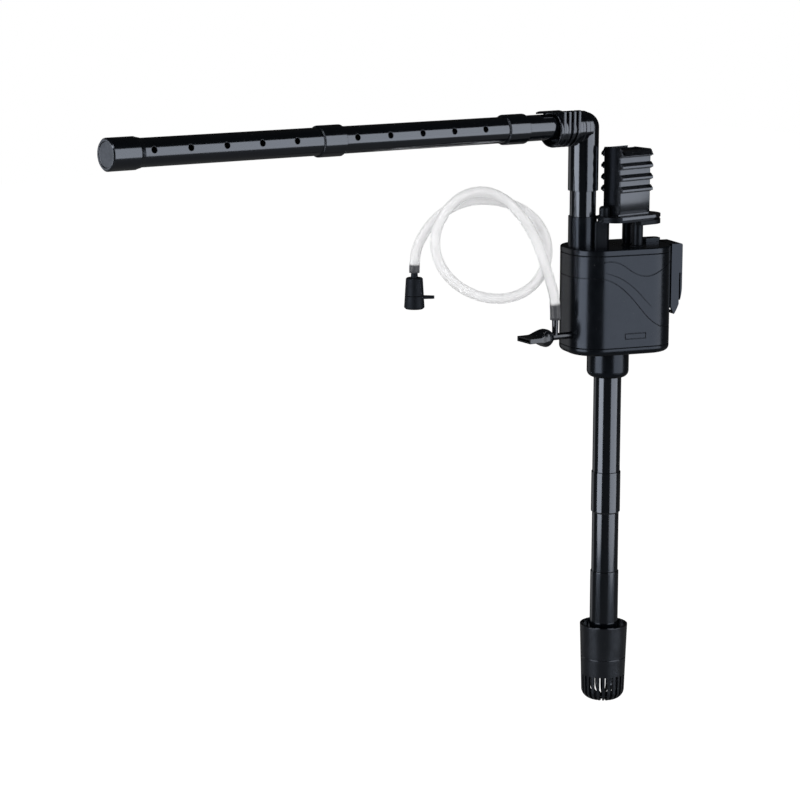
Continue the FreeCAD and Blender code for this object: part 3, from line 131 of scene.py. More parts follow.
def maths(tree, operation, *values, clamp=False):
    """The result of one Math node."""
    made = add(tree, "ShaderNodeMath", dict(enumerate(values)), operation=operation)
    made.use_clamp = clamp
    return made.outputs[0]


def spread(tree, value, low, high, out_low=0.0, out_high=1.0):
    """The result of one Map Range node."""
    made = add(tree, "ShaderNodeMapRange",
               {"Value": value, "From Min": low, "From Max": high,
                "To Min": out_low, "To Max": out_high})
    return made.outputs["Result"]


def noise(tree, place, scale, detail=2.0, roughness=0.5):
    """The height of one Noise node."""
    made = add(tree, "ShaderNodeTexNoise",
               {"Vector": place, "Scale": scale, "Detail": detail,
                "Roughness": roughness})
    return made.outputs["Fac"]


def blend_colour(tree, share, first, second):
    """The colour of one Mix node."""
    made = tree.nodes.new("ShaderNodeMix")
    made.data_type = "RGBA"
    for socket, value in ((made.inputs[0], share), (made.inputs[6], first),
                          (made.inputs[7], second)):
        if isinstance(value, bpy.types.NodeSocket):
            tree.links.new(value, socket)
        elif socket.type == "RGBA":
            socket.default_value = (*value[:3], 1.0)
        else:
            socket.default_value = value
    return made.outputs[2]


def shader_group(name, inputs, outputs):
    """An empty shader group and its two ends."""
    group = bpy.data.node_groups.new(name, "ShaderNodeTree")
    for label, kind, start in inputs:
        socket = group.interface.new_socket(name=label, in_out="INPUT",
                                            socket_type=kind)
        if start is not None:
            socket.default_value = start
    for label, kind in outputs:
        group.interface.new_socket(name=label, in_out="OUTPUT", socket_type=kind)
    start = group.nodes.new("NodeGroupInput")
    end = group.nodes.new("NodeGroupOutput")
    return group, start.outputs, end.inputs


def use_group(tree, group, inputs):
    """One shader group placed in a material."""
    made = tree.nodes.new("ShaderNodeGroup")
    made.node_tree = group
    for name, value in inputs.items():
        if isinstance(value, bpy.types.NodeSocket):
            tree.links.new(value, made.inputs[name])
        else:
            made.inputs[name].default_value = value
    return made.outputs


# ---------------------------------------------------------------- shared effects
def moulded_skin():
    """Fine spark-eroded mould texture over faint sink unevenness."""
    group, take, give = shader_group(
        "Moulded skin",
        (("Place", "NodeSocketVector", None), ("Grain", "NodeSocketFloat", 0.35),
         ("Waviness", "NodeSocketFloat", 0.3)),
        (("Height", "NodeSocketFloat"), ("Mottle", "NodeSocketFloat")))
    rate = maths(group, "DIVIDE", 1.0, take["Grain"])
    fine = noise(group, take["Place"], rate, 3.0, 0.6)
    sink = noise(group, take["Place"], 0.045, 1.0, 0.4)
    slow = noise(group, take["Place"], 0.22, 3.0, 0.55)
    wavy = maths(group, "MULTIPLY", sink, take["Waviness"])
    height = maths(group, "ADD", maths(group, "MULTIPLY", fine, 0.011), wavy)
    group.links.new(height, give["Height"])
    group.links.new(spread(group, slow, 0.3, 0.7), give["Mottle"])
    return group


def drawn_pipe():
    """Faint lines along an extruded pipe, whose axis is the place's Z."""
    group, take, give = shader_group(
        "Drawn pipe",
        (("Place", "NodeSocketVector", None), ("Spacing", "NodeSocketFloat", 0.8)),
        (("Height", "NodeSocketFloat"), ("Streak", "NodeSocketFloat")))
    squeezed = add(group, "ShaderNodeMapping",
                   {"Vector": take["Place"], "Scale": (1.0, 1.0, 0.012)})
    rate = maths(group, "DIVIDE", 1.0, take["Spacing"])
    lines = noise(group, squeezed.outputs[0], rate, 2.0, 0.55)
    broad = noise(group, squeezed.outputs[0], 0.16, 2.0, 0.5)
    swell = noise(group, take["Place"], 0.03, 1.0, 0.4)
    height = maths(group, "ADD", maths(group, "MULTIPLY", lines, 0.035),
                   maths(group, "MULTIPLY", swell, 0.35))
    group.links.new(height, give["Height"])
    group.links.new(spread(group, broad, 0.35, 0.68), give["Streak"])
    return group


def handling_marks():
    """Smudges, hair scratches and specks of lime from use in water."""
    group, take, give = shader_group(
        "Handling marks",
        (("Place", "NodeSocketVector", None), ("Amount", "NodeSocketFloat", 1.0)),
        (("Smudge", "NodeSocketFloat"), ("Scratch", "NodeSocketFloat"),
         ("Speck", "NodeSocketFloat")))
    patch = noise(group, take["Place"], 0.06, 4.0, 0.6)
    smudge = maths(group, "MULTIPLY", spread(group, patch, 0.45, 0.75), take["Amount"])
    turned = add(group, "ShaderNodeMapping",
                 {"Vector": take["Place"], "Rotation": (0.5, 0.35, 0.9),
                  "Scale": (2.6, 2.6, 0.05)})
    hair = noise(group, turned.outputs[0], 1.0, 1.0, 0.4)
    where = spread(group, noise(group, take["Place"], 0.09, 2.0), 0.45, 0.7)
    scratch = maths(group, "MULTIPLY", spread(group, hair, 0.735, 0.76), where)
    scratch = maths(group, "MULTIPLY", scratch, take["Amount"])
    cells = add(group, "ShaderNodeTexVoronoi",
                {"Vector": take["Place"], "Scale": 0.42, "Randomness": 1.0},
                feature="F1")
    dot = spread(group, cells.outputs["Distance"], 0.11, 0.07)
    rare = spread(group, noise(group, take["Place"], 0.3, 1.0), 0.6, 0.66)
    speck = maths(group, "MULTIPLY", maths(group, "MULTIPLY", dot, rare),
                  take["Amount"])
    group.links.new(smudge, give["Smudge"])
    group.links.new(scratch, give["Scratch"])
    group.links.new(speck, give["Speck"])
    return group


def edge_rub():
    """Where an outer edge is rubbed paler, broken up by noise."""
    group, take, give = shader_group(
        "Edge rub",
        (("Place", "NodeSocketVector", None), ("Amount", "NodeSocketFloat", 0.5)),
        (("Mask", "NodeSocketFloat"), ("Normal", "NodeSocketVector")))
    round_off = add(group, "ShaderNodeBevel", {"Radius": 0.45 * MM}, samples=4)
    flat = add(group, "ShaderNodeNewGeometry")
    agree = add(group, "ShaderNodeVectorMath",
                {0: round_off.outputs[0], 1: flat.outputs["Normal"]},
                operation="DOT_PRODUCT")
    off = spread(group, agree.outputs["Value"], 0.99, 0.80)
    broken = spread(group, noise(group, take["Place"], 0.7, 3.0, 0.6), 0.4, 0.62)
    mask = maths(group, "MULTIPLY", maths(group, "MULTIPLY", off, broken),
                 take["Amount"])
    group.links.new(mask, give["Mask"])
    group.links.new(round_off.outputs[0], give["Normal"])
    return group


effects = {}


def effect(name, make):
    """A shared effect, built the first time it is asked for."""
    if name not in effects:
        effects[name] = make()
    return effects[name]


# ---------------------------------------------------------------- materials
def new_material(name):
    """A material with its Principled shader, and places in millimetres."""
    material = bpy.data.materials.new(name)
    material.use_nodes = True
    tree = material.node_tree
    tree.nodes.clear()
    out = add(tree, "ShaderNodeOutputMaterial")
    shader = add(tree, "ShaderNodeBsdfPrincipled")
    tree.links.new(shader.outputs[0], out.inputs["Surface"])
    where = add(tree, "ShaderNodeTexCoord")
    place = add(tree, "ShaderNodeMapping",
                {"Vector": where.outputs["Object"], "Scale": (1000.0, 1000.0, 1000.0)})
    return material, tree, shader, place.outputs[0]


def feed(tree, source, shader, name):
    """Link a value to one of the shader's inputs."""
    tree.links.new(source, shader.inputs[name])


def relief(tree, shader, strength, depth, height, under=None):
    """Bump the shader's normal by a height, depth in mm; returns the normal."""
    values = {"Strength": strength, "Distance": depth * MM, "Height": height}
    if under is not None:
        values["Normal"] = under
    bump = add(tree, "ShaderNodeBump", values)
    feed(tree, bump.outputs[0], shader, "Normal")
    return bump.outputs[0]


def plastic(name, colour, worn, roughness, gloss=0.0, gloss_roughness=0.06,
            grain=0.35, waviness=0.3, depth=0.12, axis=None, marks=0.6, rub=0.5,
            specular=0.5, tint=(0.68, 0.79, 1.0), matte_end_painted_light=None):
    """Moulded plastic, or a drawn pipe when it has an axis.

    A matte end is painted light: the face that looks along -X is painted this paler grey,
    which stands in for the light that face catches, and it is made rougher.
    """
    material, tree, shader, place = new_material(name)
    if axis:
        turn = {"Z": (0.0, 0.0, 0.0), "X": (0.0, math.radians(90), 0.0)}[axis]
        along = add(tree, "ShaderNodeMapping", {"Vector": place, "Rotation": turn})
        skin = use_group(tree, effect("pipe", drawn_pipe),
                         {"Place": along.outputs[0], "Spacing": grain})
        tone = skin["Streak"]
    else:
        skin = use_group(tree, effect("skin", moulded_skin),
                         {"Place": place, "Grain": grain, "Waviness": waviness})
        tone = skin["Mottle"]
    wear = use_group(tree, effect("marks", handling_marks),
                     {"Place": place, "Amount": marks})
    rubbed = use_group(tree, effect("rub", edge_rub), {"Place": place, "Amount": rub})
    lifted = tuple(min(1.0, c * 1.6 + 0.0004) for c in colour)
    base = blend_colour(tree, maths(tree, "MULTIPLY", tone, 0.7), colour, lifted)
    base = blend_colour(tree, maths(tree, "MULTIPLY", wear["Smudge"], 0.05), base, worn)
    base = blend_colour(tree, maths(tree, "MULTIPLY", wear["Scratch"], 0.3), base, worn)
    base = blend_colour(tree, maths(tree, "MULTIPLY", wear["Speck"], 0.35), base,
                        (0.32, 0.33, 0.33))
    base = blend_colour(tree, rubbed["Mask"], base, worn)
    rough = maths(tree, "ADD", spread(tree, tone, 0.0, 1.0, roughness * 0.88,
                                      roughness * 1.12),
                  maths(tree, "MULTIPLY", wear["Smudge"], 0.09))
    # Painted light: the end face that looks along -X is painted a paler grey, standing in
    # for the light it catches; the added roughness makes it duller.
    if matte_end_painted_light:
        facing = add(tree, "ShaderNodeNewGeometry")
        toward = add(tree, "ShaderNodeVectorMath",
                     {0: facing.outputs["Normal"], 1: (-1.0, 0.0, 0.0)},
                     operation="DOT_PRODUCT")
        end = spread(tree, toward.outputs["Value"], 0.90, 0.96)
        cloud = noise(tree, place, 0.9, 3.0, 0.6)
        grey = blend_colour(tree, spread(tree, cloud, 0.35, 0.65), matte_end_painted_light,
                            tuple(c * 0.7 for c in matte_end_painted_light))
        base = blend_colour(tree, end, base, grey)
        rough = maths(tree, "ADD", rough, maths(tree, "MULTIPLY", end, 0.35))
    feed(tree, base, shader, "Base Color")
    rough = maths(tree, "ADD", rough, maths(tree, "MULTIPLY", wear["Scratch"], 0.15),
                  clamp=True)
    feed(tree, rough, shader, "Roughness")
    dent = maths(tree, "SUBTRACT", skin["Height"],
                 maths(tree, "MULTIPLY", wear["Scratch"], 0.02))
    normal = relief(tree, shader, 1.0, depth, dent, rubbed["Normal"])
    shader.inputs["Specular IOR Level"].default_value = specular
    shader.inputs["Specular Tint"].default_value = (*tint, 1.0)
    if gloss:
        shader.inputs["Coat Weight"].default_value = gloss
        shader.inputs["Coat Roughness"].default_value = gloss_roughness
        feed(tree, normal, shader, "Coat Normal")
    return material


def clear_vinyl(name, colour, milkiness):
    """Clear soft hose, a little milky and cloudy, and smoky over the barbs."""
    material, tree, shader, place = new_material(name)
    cloud = noise(tree, place, 0.11, 3.0, 0.6)
    haze = noise(tree, place, 0.9, 2.0, 0.5)
    base = blend_colour(tree, spread(tree, cloud, 0.35, 0.7), colour,
                        tuple(c * 0.95 for c in colour))
    over = add(tree, "ShaderNodeAttribute", attribute_name="over_barb",
               attribute_type="GEOMETRY")
    smoky = maths(tree, "MULTIPLY", over.outputs["Fac"], 0.93)
    base = blend_colour(tree, smoky, base, (0.10, 0.105, 0.12))
    feed(tree, base, shader, "Base Color")
    rough = spread(tree, haze, 0.3, 0.7, 0.28, 0.34)
    feed(tree, rough, shader, "Roughness")
    shader.inputs["Transmission Weight"].default_value = 1.0 - milkiness
    shader.inputs["IOR"].default_value = 1.12
    shader.inputs["Metallic"].default_value = 0.0
    shader.inputs["Coat Weight"].default_value = 0.35
    shader.inputs["Coat Roughness"].default_value = 0.08
    fine = noise(tree, place, 1.7, 2.0, 0.5)
    relief(tree, shader, 0.05, 0.02, fine)
    return material


def soft_rubber(name, colour):
    """Matt seal rubber with fine pores and a bloom."""
    material, tree, shader, place = new_material(name)
    bloom = spread(tree, noise(tree, place, 0.25, 4.0, 0.6), 0.4, 0.7)
    pores = noise(tree, place, 3.0, 3.0, 0.6)
    base = blend_colour(tree, maths(tree, "MULTIPLY", bloom, 0.4), colour,
                        tuple(c * 2.2 + 0.01 for c in colour))
    feed(tree, base, shader, "Base Color")
    feed(tree, spread(tree, bloom, 0.0, 1.0, 0.55, 0.75), shader, "Roughness")
    relief(tree, shader, 0.8, 0.05, pores)
    return material


def stacked_steel(name):
    """Iron plates stacked in Z, with dark joints and a little rust."""
    material, tree, shader, place = new_material(name)
    split = add(tree, "ShaderNodeSeparateXYZ", {"Vector": place})
    level = maths(tree, "FRACT", maths(tree, "MULTIPLY", split.outputs["Z"], 2.0))
    joint = maths(tree, "ABSOLUTE", maths(tree, "SUBTRACT", level, 0.5))
    groove = spread(tree, joint, 0.42, 0.5)
    rust = spread(tree, noise(tree, place, 0.35, 5.0, 0.65), 0.55, 0.75)
    base = blend_colour(tree, groove, (0.42, 0.43, 0.45), (0.09, 0.09, 0.10))
    base = blend_colour(tree, maths(tree, "MULTIPLY", rust, 0.55), base,
                        (0.24, 0.10, 0.04))
    feed(tree, base, shader, "Base Color")
    feed(tree, maths(tree, "SUBTRACT", 1.0, maths(tree, "MULTIPLY", rust, 0.6)),
         shader, "Metallic")
    feed(tree, spread(tree, rust, 0.0, 1.0, 0.36, 0.7), shader, "Roughness")
    relief(tree, shader, 0.7, 0.08, maths(tree, "SUBTRACT", 1.0, groove))
    return material


def bare_metal(name, colour, roughness, spacing):
    """Ground metal or ceramic, with rings from turning."""
    material, tree, shader, place = new_material(name)
    rings = add(tree, "ShaderNodeMapping", {"Vector": place, "Scale": (0.1, 0.1, 1.0)})
    lines = noise(tree, rings.outputs[0], 1.0 / spacing, 2.0, 0.6)
    patch = noise(tree, place, 0.2, 3.0)
    base = blend_colour(tree, spread(tree, patch, 0.35, 0.7), colour,
                        tuple(c * 0.82 for c in colour))
    feed(tree, base, shader, "Base Color")
    feed(tree, spread(tree, lines, 0.3, 0.7, roughness * 0.8, roughness * 1.3),
         shader, "Roughness")
    shader.inputs["Metallic"].default_value = 1.0
    relief(tree, shader, 0.5, 0.02, lines)
    return material


def enamelled_wire(name, colour):
    """Copper wire under a thin varnish."""
    material, tree, shader, place = new_material(name)
    shade = noise(tree, place, 0.8, 3.0, 0.6)
    base = blend_colour(tree, spread(tree, shade, 0.3, 0.7), colour,
                        tuple(c * 0.7 for c in colour))
    feed(tree, base, shader, "Base Color")
    feed(tree, spread(tree, shade, 0.3, 0.7, 0.25, 0.4), shader, "Roughness")
    shader.inputs["Metallic"].default_value = 1.0
    shader.inputs["Coat Weight"].default_value = 0.6
    shader.inputs["Coat Roughness"].default_value = 0.15
    relief(tree, shader, 0.3, 0.02, noise(tree, place, 4.0, 2.0))
    return material


def pressed_ferrite(name, colour):
    """Dull pressed magnet, with pits and paler grit."""
    material, tree, shader, place = new_material(name)
    grit = noise(tree, place, 2.2, 5.0, 0.7)
    pits = add(tree, "ShaderNodeTexVoronoi", {"Vector": place, "Scale": 0.9})
    pit_and_shade = spread(tree, pits.outputs["Distance"], 0.16, 0.08)
    base = blend_colour(tree, spread(tree, grit, 0.35, 0.7), colour,
                        tuple(c * 1.8 for c in colour))
    # Painted shade: the pits are painted darker, standing in for the shade inside them;
    # they are also sunk by the bump.
    base = blend_colour(tree, maths(tree, "MULTIPLY", pit_and_shade, 0.6), base,
                        tuple(c * 0.4 for c in colour))
    feed(tree, base, shader, "Base Color")
    feed(tree, spread(tree, grit, 0.3, 0.7, 0.5, 0.7), shader, "Roughness")
    high = maths(tree, "SUBTRACT", grit, pit_and_shade)
    relief(tree, shader, 0.8, 0.06, high)
    return material


def dress(material, *nodes):
    """Give CAD nodes one material, in every slot they have."""
    for name in nodes:
        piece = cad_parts[name]
        if not piece.material_slots:
            raise RuntimeError("the node %s has no material slot" % name)
        for slot in piece.material_slots:
            slot.material = material


# ---------------------------------------------------------------- shape tools
def finished(name, mesh, material, body):
    """A finished piece at the origin, on its body, with its material."""
    piece = bpy.data.objects.new(name, mesh)
    bpy.context.scene.collection.objects.link(piece)
    if material is not None:
        mesh.materials.clear()
        mesh.materials.append(material)
    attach(piece, body)
    return piece


def face_outwards(mesh):
    """Merge doubles, then turn all faces outwards."""
    work = bmesh.new()
    work.from_mesh(mesh)
    bmesh.ops.remove_doubles(work, verts=work.verts, dist=1e-7)
    bmesh.ops.recalc_face_normals(work, faces=work.faces)
    work.to_mesh(mesh)
    work.free()


def shade_smooth(mesh, angle=35.0):
    """Smooth shading that keeps the sharp edges sharp."""
    for face in mesh.polygons:
        face.use_smooth = True
    mesh.set_sharp_from_angle(angle=math.radians(angle))


def plain_mesh(source):
    """The evaluated mesh of an object, free of its modifiers."""
    deps = bpy.context.evaluated_depsgraph_get()
    mesh = bpy.data.meshes.new_from_object(source.evaluated_get(deps), depsgraph=deps)
    return mesh


def geometry_tree(name, inputs):
    """An empty Geometry Nodes tree with named inputs."""
    tree = bpy.data.node_groups.new(name, "GeometryNodeTree")
    tree.interface.new_socket(name="Geometry", in_out="INPUT",
                              socket_type="NodeSocketGeometry")
    for label, kind, start in inputs:
        socket = tree.interface.new_socket(name=label, in_out="INPUT", socket_type=kind)
        if start is not None:
            socket.default_value = start
    tree.interface.new_socket(name="Geometry", in_out="OUTPUT",
                              socket_type="NodeSocketGeometry")
    start = tree.nodes.new("NodeGroupInput")
    end = tree.nodes.new("NodeGroupOutput")
    return tree, start.outputs, end.inputs


def close_tree(tree, give, geometry, material):
    """End a tree with plain geometry that has its material."""
    real = add(tree, "GeometryNodeRealizeInstances", {0: geometry})
    dressed = add(tree, "GeometryNodeSetMaterial",
                  {"Geometry": real.outputs[0], "Material": material})
    tree.links.new(dressed.outputs[0], give["Geometry"])
    return tree


def grow(name, start, tree, values):
    """Run a Geometry Nodes tree on a mesh and return the plain mesh it makes."""
    source = bpy.data.objects.new(name, start)
    bpy.context.scene.collection.objects.link(source)
    modifier = source.modifiers.new("grow", "NODES")
    modifier.node_group = tree
    for item in tree.interface.items_tree:
        if item.item_type == "SOCKET" and item.in_out == "INPUT" and item.name in values:
            modifier[item.identifier] = values[item.name]
    mesh = plain_mesh(source)
    source.modifiers.remove(modifier)
    bpy.data.objects.remove(source)
    return mesh


def smooth_line(name, points, order, resolution):
    """Mesh along a smooth spline, which starts and ends on its outer points."""
    curve = bpy.data.curves.new(name, "CURVE")
    curve.dimensions = "3D"
    curve.resolution_u = resolution
    spline = curve.splines.new("NURBS")
    spline.points.add(len(points) - 1)
    for point, place in zip(spline.points, points):
        point.co = (*place, 1.0)
    spline.order_u = order
    spline.use_endpoint_u = True
    line = bpy.data.objects.new(name, curve)
    bpy.context.scene.collection.objects.link(line)
    bpy.context.view_layer.update()
    mesh = plain_mesh(line)
    bpy.data.objects.remove(line)
    return mesh


def copied_mesh(name):
    """A merged copy of a CAD node's mesh, to be reshaped, as a bmesh."""
    work = bmesh.new()
    work.from_mesh(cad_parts[name].data)
    bmesh.ops.remove_doubles(work, verts=work.verts, dist=1e-7)
    return work


def reshaped(name, work, node, material, body):
    """A finished piece from a reshaped copy, in place of its CAD node."""
    bmesh.ops.recalc_face_normals(work, faces=work.faces)
    mesh = bpy.data.meshes.new(name)
    work.to_mesh(mesh)
    work.free()
    shade_smooth(mesh, 12.0)
    piece = finished(name, mesh, material, body)
    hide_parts(node)
    return piece


PUMP_TURN = math.radians(-17.0)
PUMP_PLACE = Vector((-1.2 * MM, 8.0 * MM, 0.0))


def on_pump():
    """Placement of the pump body, which is turned under its hanger."""
    return Matrix.Translation(PUMP_PLACE) @ Matrix.Rotation(PUMP_TURN, 4, "Z")


# ---------------------------------------------------------------- settings
class StageSettings(bpy.types.PropertyGroup):
    """Lights, floor and backdrop."""
    right_card: bpy.props.FloatProperty(
        name="Right card", description="Brightness of the large card on the right",
        default=2.2, min=0.0)
    left_card: bpy.props.FloatProperty(
        name="Left card", description="Brightness of the large card on the left",
        default=3.4, min=0.0)
    back_card: bpy.props.FloatProperty(
        name="Back card", description="Brightness of the card behind on the left",
        default=0.35, min=0.0)
    room: bpy.props.FloatProperty(
        name="Room", description="Even light of the room on the surfaces",
        default=0.30, min=0.0)
    room_gloss: bpy.props.FloatProperty(
        name="Room in gloss", description="How bright the room shows in glossy plastic",
        default=0.012, min=0.0)
    floor_drop: bpy.props.FloatProperty(
        name="Floor drop", description="Distance of the floor under the strainer",
        default=0.45, unit="LENGTH")


class PlasticSettings(bpy.types.PropertyGroup):
    """Colours of the moulded and drawn plastics."""
    pipe: bpy.props.FloatVectorProperty(
        name="Pipes", description="Glossy black of the pipes", subtype="COLOR",
        default=(0.0012, 0.0016, 0.0023), min=0.0, max=1.0)
    casing: bpy.props.FloatVectorProperty(
        name="Pump body", description="Satin blue-black of the casing",
        subtype="COLOR", default=(0.0018, 0.0024, 0.0034), min=0.0, max=1.0)
    hanger: bpy.props.FloatVectorProperty(
        name="Hanger", description="Black of the post and its legs",
        subtype="COLOR", default=(0.0014, 0.0017, 0.0023), min=0.0, max=1.0)
    # The cap end's grey is painted light on the end face that looks along -X, not a colour
    # of the plastic.
    cap_end_painted_light: bpy.props.FloatVectorProperty(
        name="Cap end", description="Grey of the roughened face on the bar's end cap",
        subtype="COLOR", default=(0.075, 0.082, 0.095), min=0.0, max=1.0)
    rubbed: bpy.props.FloatVectorProperty(
        name="Rubbed edges", description="Paler grey where edges are worn",
        subtype="COLOR", default=(0.045, 0.048, 0.055), min=0.0, max=1.0)


class HoseSettings(bpy.types.PropertyGroup):
    """Sizes and colour of the clear hose."""
    outside: bpy.props.FloatProperty(
        name="Outside diameter", description="Outside diameter of the hose",
        default=0.006, unit="LENGTH")
    bore: bpy.props.FloatProperty(
        name="Bore", description="Inside diameter of the hose",
        default=0.004, unit="LENGTH")
    swell: bpy.props.FloatProperty(
        name="Swell", description="How much wider the hose is over a barb",
        default=0.00015, unit="LENGTH")
    milkiness: bpy.props.FloatProperty(
        name="Milkiness", description="Share of the hose that isn't clear",
        default=0.40, min=0.0, max=1.0)
    colour: bpy.props.FloatVectorProperty(
        name="Colour", description="Colour of the vinyl", subtype="COLOR",
        default=(0.975, 0.975, 0.98), min=0.0, max=1.0)


class FinSettings(bpy.types.PropertyGroup):
    """The fins round the elbow's bell."""
    count: bpy.props.IntProperty(
        name="Fins", description="How many fins stand round the bell", default=4, min=1)
    pitch: bpy.props.FloatProperty(
        name="Pitch", description="Distance from one fin to the next",
        default=0.0038, unit="LENGTH")
    thickness: bpy.props.FloatProperty(
        name="Thickness", description="Thickness of one fin", default=0.0019,
        unit="LENGTH")
    first: bpy.props.FloatProperty(
        name="First fin", description="Distance of the first fin from the riser",
        default=0.0128, unit="LENGTH")


class WindingSettings(bpy.types.PropertyGroup):
    """The motor's copper winding."""
    turns: bpy.props.IntProperty(
        name="Turns", description="Turns in the outer layer", default=18, min=2)
    wire: bpy.props.FloatProperty(
        name="Wire", description="Diameter of the wire", default=0.0009, unit="LENGTH")


class FilterSettings(bpy.types.PropertyGroup):
    """All settings of the pump filter."""
    stage: bpy.props.PointerProperty(type=StageSettings)
    plastic: bpy.props.PointerProperty(type=PlasticSettings)
    hose: bpy.props.PointerProperty(type=HoseSettings)
    fins: bpy.props.PointerProperty(type=FinSettings)
    winding: bpy.props.PointerProperty(type=WindingSettings)


def settings():
    """The scene's settings."""
    return bpy.context.scene.pump_filter


# ---------------------------------------------------------------- stage
VIEW_TURN = math.radians(-37.5)
VIEW_RISE = math.radians(11.5)
CAMERA_PLACE = (-1.05303, -1.14897, 0.20210)
CARD_DISTANCE = 1.7


def view_axes():
    """Right, up and back directions of the photograph's view."""
    right = Vector((math.cos(VIEW_TURN), math.sin(VIEW_TURN), 0.0))
    back = Vector((math.sin(VIEW_TURN) * math.cos(VIEW_RISE),
                   -math.cos(VIEW_TURN) * math.cos(VIEW_RISE), math.sin(VIEW_RISE)))
    up = back.cross(right)
    return right, up, back


def make_camera():
    """Long lens at the photograph's place, for a square picture."""
    right, up, back = view_axes()
    lens = bpy.data.cameras.new("Camera")
    lens.sensor_width = 36.0
    lens.lens = 117.0
    lens.clip_start = 0.05
    lens.clip_end = 50.0
    camera = bpy.data.objects.new("Camera", lens)
    turn = Matrix((right, up, back)).transposed().to_4x4()
    camera.matrix_world = Matrix.Translation(Vector(CAMERA_PLACE)) @ turn
    bpy.context.scene.collection.objects.link(camera)
    bpy.context.scene.camera = camera
    return camera


def make_card(name, turn, low, high, width, distance, brightness):
    """Large upright soft card that faces the pump from one side of the camera."""
    angle = VIEW_TURN + math.radians(turn)
    out = Vector((math.sin(angle), -math.cos(angle), 0.0))
    lamp = bpy.data.lights.new(name, "AREA")
    lamp.shape = "RECTANGLE"
    lamp.size = width
    lamp.size_y = high - low
    lamp.energy = brightness * math.pi * width * (high - low)
    card = bpy.data.objects.new(name, lamp)
    card.location = out * distance + Vector((0.0, 0.0, (low + high) / 2.0))
    card.rotation_mode = "QUATERNION"
    card.rotation_quaternion = out.to_track_quat("Z", "Y")
    card.visible_camera = False
    bpy.context.scene.collection.objects.link(card)
    return card


def make_world():
    """Even room light; the camera and clear plastic see it white."""
    values = settings().stage
    world = bpy.data.worlds.new("Room")
    bpy.context.scene.world = world
    world.use_nodes = True
    tree = world.node_tree
    tree.nodes.clear()
    path = add(tree, "ShaderNodeLightPath")
    seen = maths(tree, "MAXIMUM", path.outputs["Is Camera Ray"],
                 path.outputs["Is Transmission Ray"])
    lit = add(tree, "ShaderNodeBackground",
              {"Color": (1.0, 1.0, 1.0, 1.0), "Strength": values.room})
    gloss = add(tree, "ShaderNodeBackground",
                {"Color": (1.0, 1.0, 1.0, 1.0), "Strength": values.room_gloss})
    white = add(tree, "ShaderNodeBackground",
                {"Color": (1.0, 1.0, 1.0, 1.0), "Strength": 1.0})
    first = add(tree, "ShaderNodeMixShader",
                {0: path.outputs["Is Glossy Ray"], 1: lit.outputs[0],
                 2: gloss.outputs[0]})
    mixed = add(tree, "ShaderNodeMixShader",
                {0: seen, 1: first.outputs[0], 2: white.outputs[0]})
    out = add(tree, "ShaderNodeOutputWorld")
    tree.links.new(mixed.outputs[0], out.inputs["Surface"])


def floor_material():
    """Pale floor, white to the camera, that keeps the object's shadow."""
    material = bpy.data.materials.new("Pale floor")
    material.use_nodes = True
    tree = material.node_tree
    tree.nodes.clear()
    where = add(tree, "ShaderNodeTexCoord")
    grain = noise(tree, where.outputs["Object"], 40.0, 3.0, 0.6)
    tone = blend_colour(tree, spread(tree, grain, 0.3, 0.7), (0.39, 0.39, 0.39),
                        (0.42, 0.42, 0.42))
    path = add(tree, "ShaderNodeLightPath")
    tone = blend_colour(tree, maths(tree, "MULTIPLY", path.outputs["Is Glossy Ray"],
                                    0.7), tone, (0.03, 0.03, 0.03))
    seen = maths(tree, "MAXIMUM", path.outputs["Is Camera Ray"],
                 path.outputs["Is Transmission Ray"])
    glow = maths(tree, "MULTIPLY", seen, 0.88)
    shade = add(tree, "ShaderNodeBsdfDiffuse", {"Color": tone})
    shine = add(tree, "ShaderNodeEmission", {"Color": (1.0, 1.0, 1.0, 1.0),
                                             "Strength": glow})
    both = add(tree, "ShaderNodeAddShader", {0: shade.outputs[0], 1: shine.outputs[0]})
    out = add(tree, "ShaderNodeOutputMaterial")
    tree.links.new(both.outputs[0], out.inputs["Surface"])
    return material


def make_floor():
    """Large plain floor well under the hanging strainer."""
    drop = settings().stage.floor_drop
    level = cad_box[0][2] - drop
    reach = 6.0
    mesh = bpy.data.meshes.new("Floor")
    mesh.from_pydata([(-reach, -reach, level), (reach, -reach, level),
                      (reach, reach, level), (-reach, reach, level)], [], [(0, 1, 2, 3)])
    floor = bpy.data.objects.new("Floor", mesh)
    bpy.context.scene.collection.objects.link(floor)
    mesh.materials.append(floor_material())
    return floor


class FILTER_OT_stage(bpy.types.Operator):
    """Add the camera, the three soft cards, the room and the floor"""
    bl_idname = "pump_filter.stage"
    bl_label = "Stage"

    def execute(self, context):
        values = settings().stage
        make_camera()
        for name, turn, low, high, width, level in (
                ("Right card", 57.5, -0.70, 1.30, 1.90, values.right_card),
                ("Left card", -56.5, -0.66, 1.40, 1.20, values.left_card),
                ("Back card", -128.0, -0.80, 0.90, 0.80, values.back_card)):
            make_card(name, turn, low, high, width, CARD_DISTANCE, level)
        make_world()
        make_floor()
        context.scene.view_settings.view_transform = "Standard"
        return {"FINISHED"}


# ---------------------------------------------------------------- air hose
def hose_line():
    """Points along the smooth spline through the hose's route."""
    mesh = smooth_line("Hose line", HOSE_ROUTE, order=3, resolution=12)
    return mesh, [vertex.co.copy() for vertex in mesh.vertices]


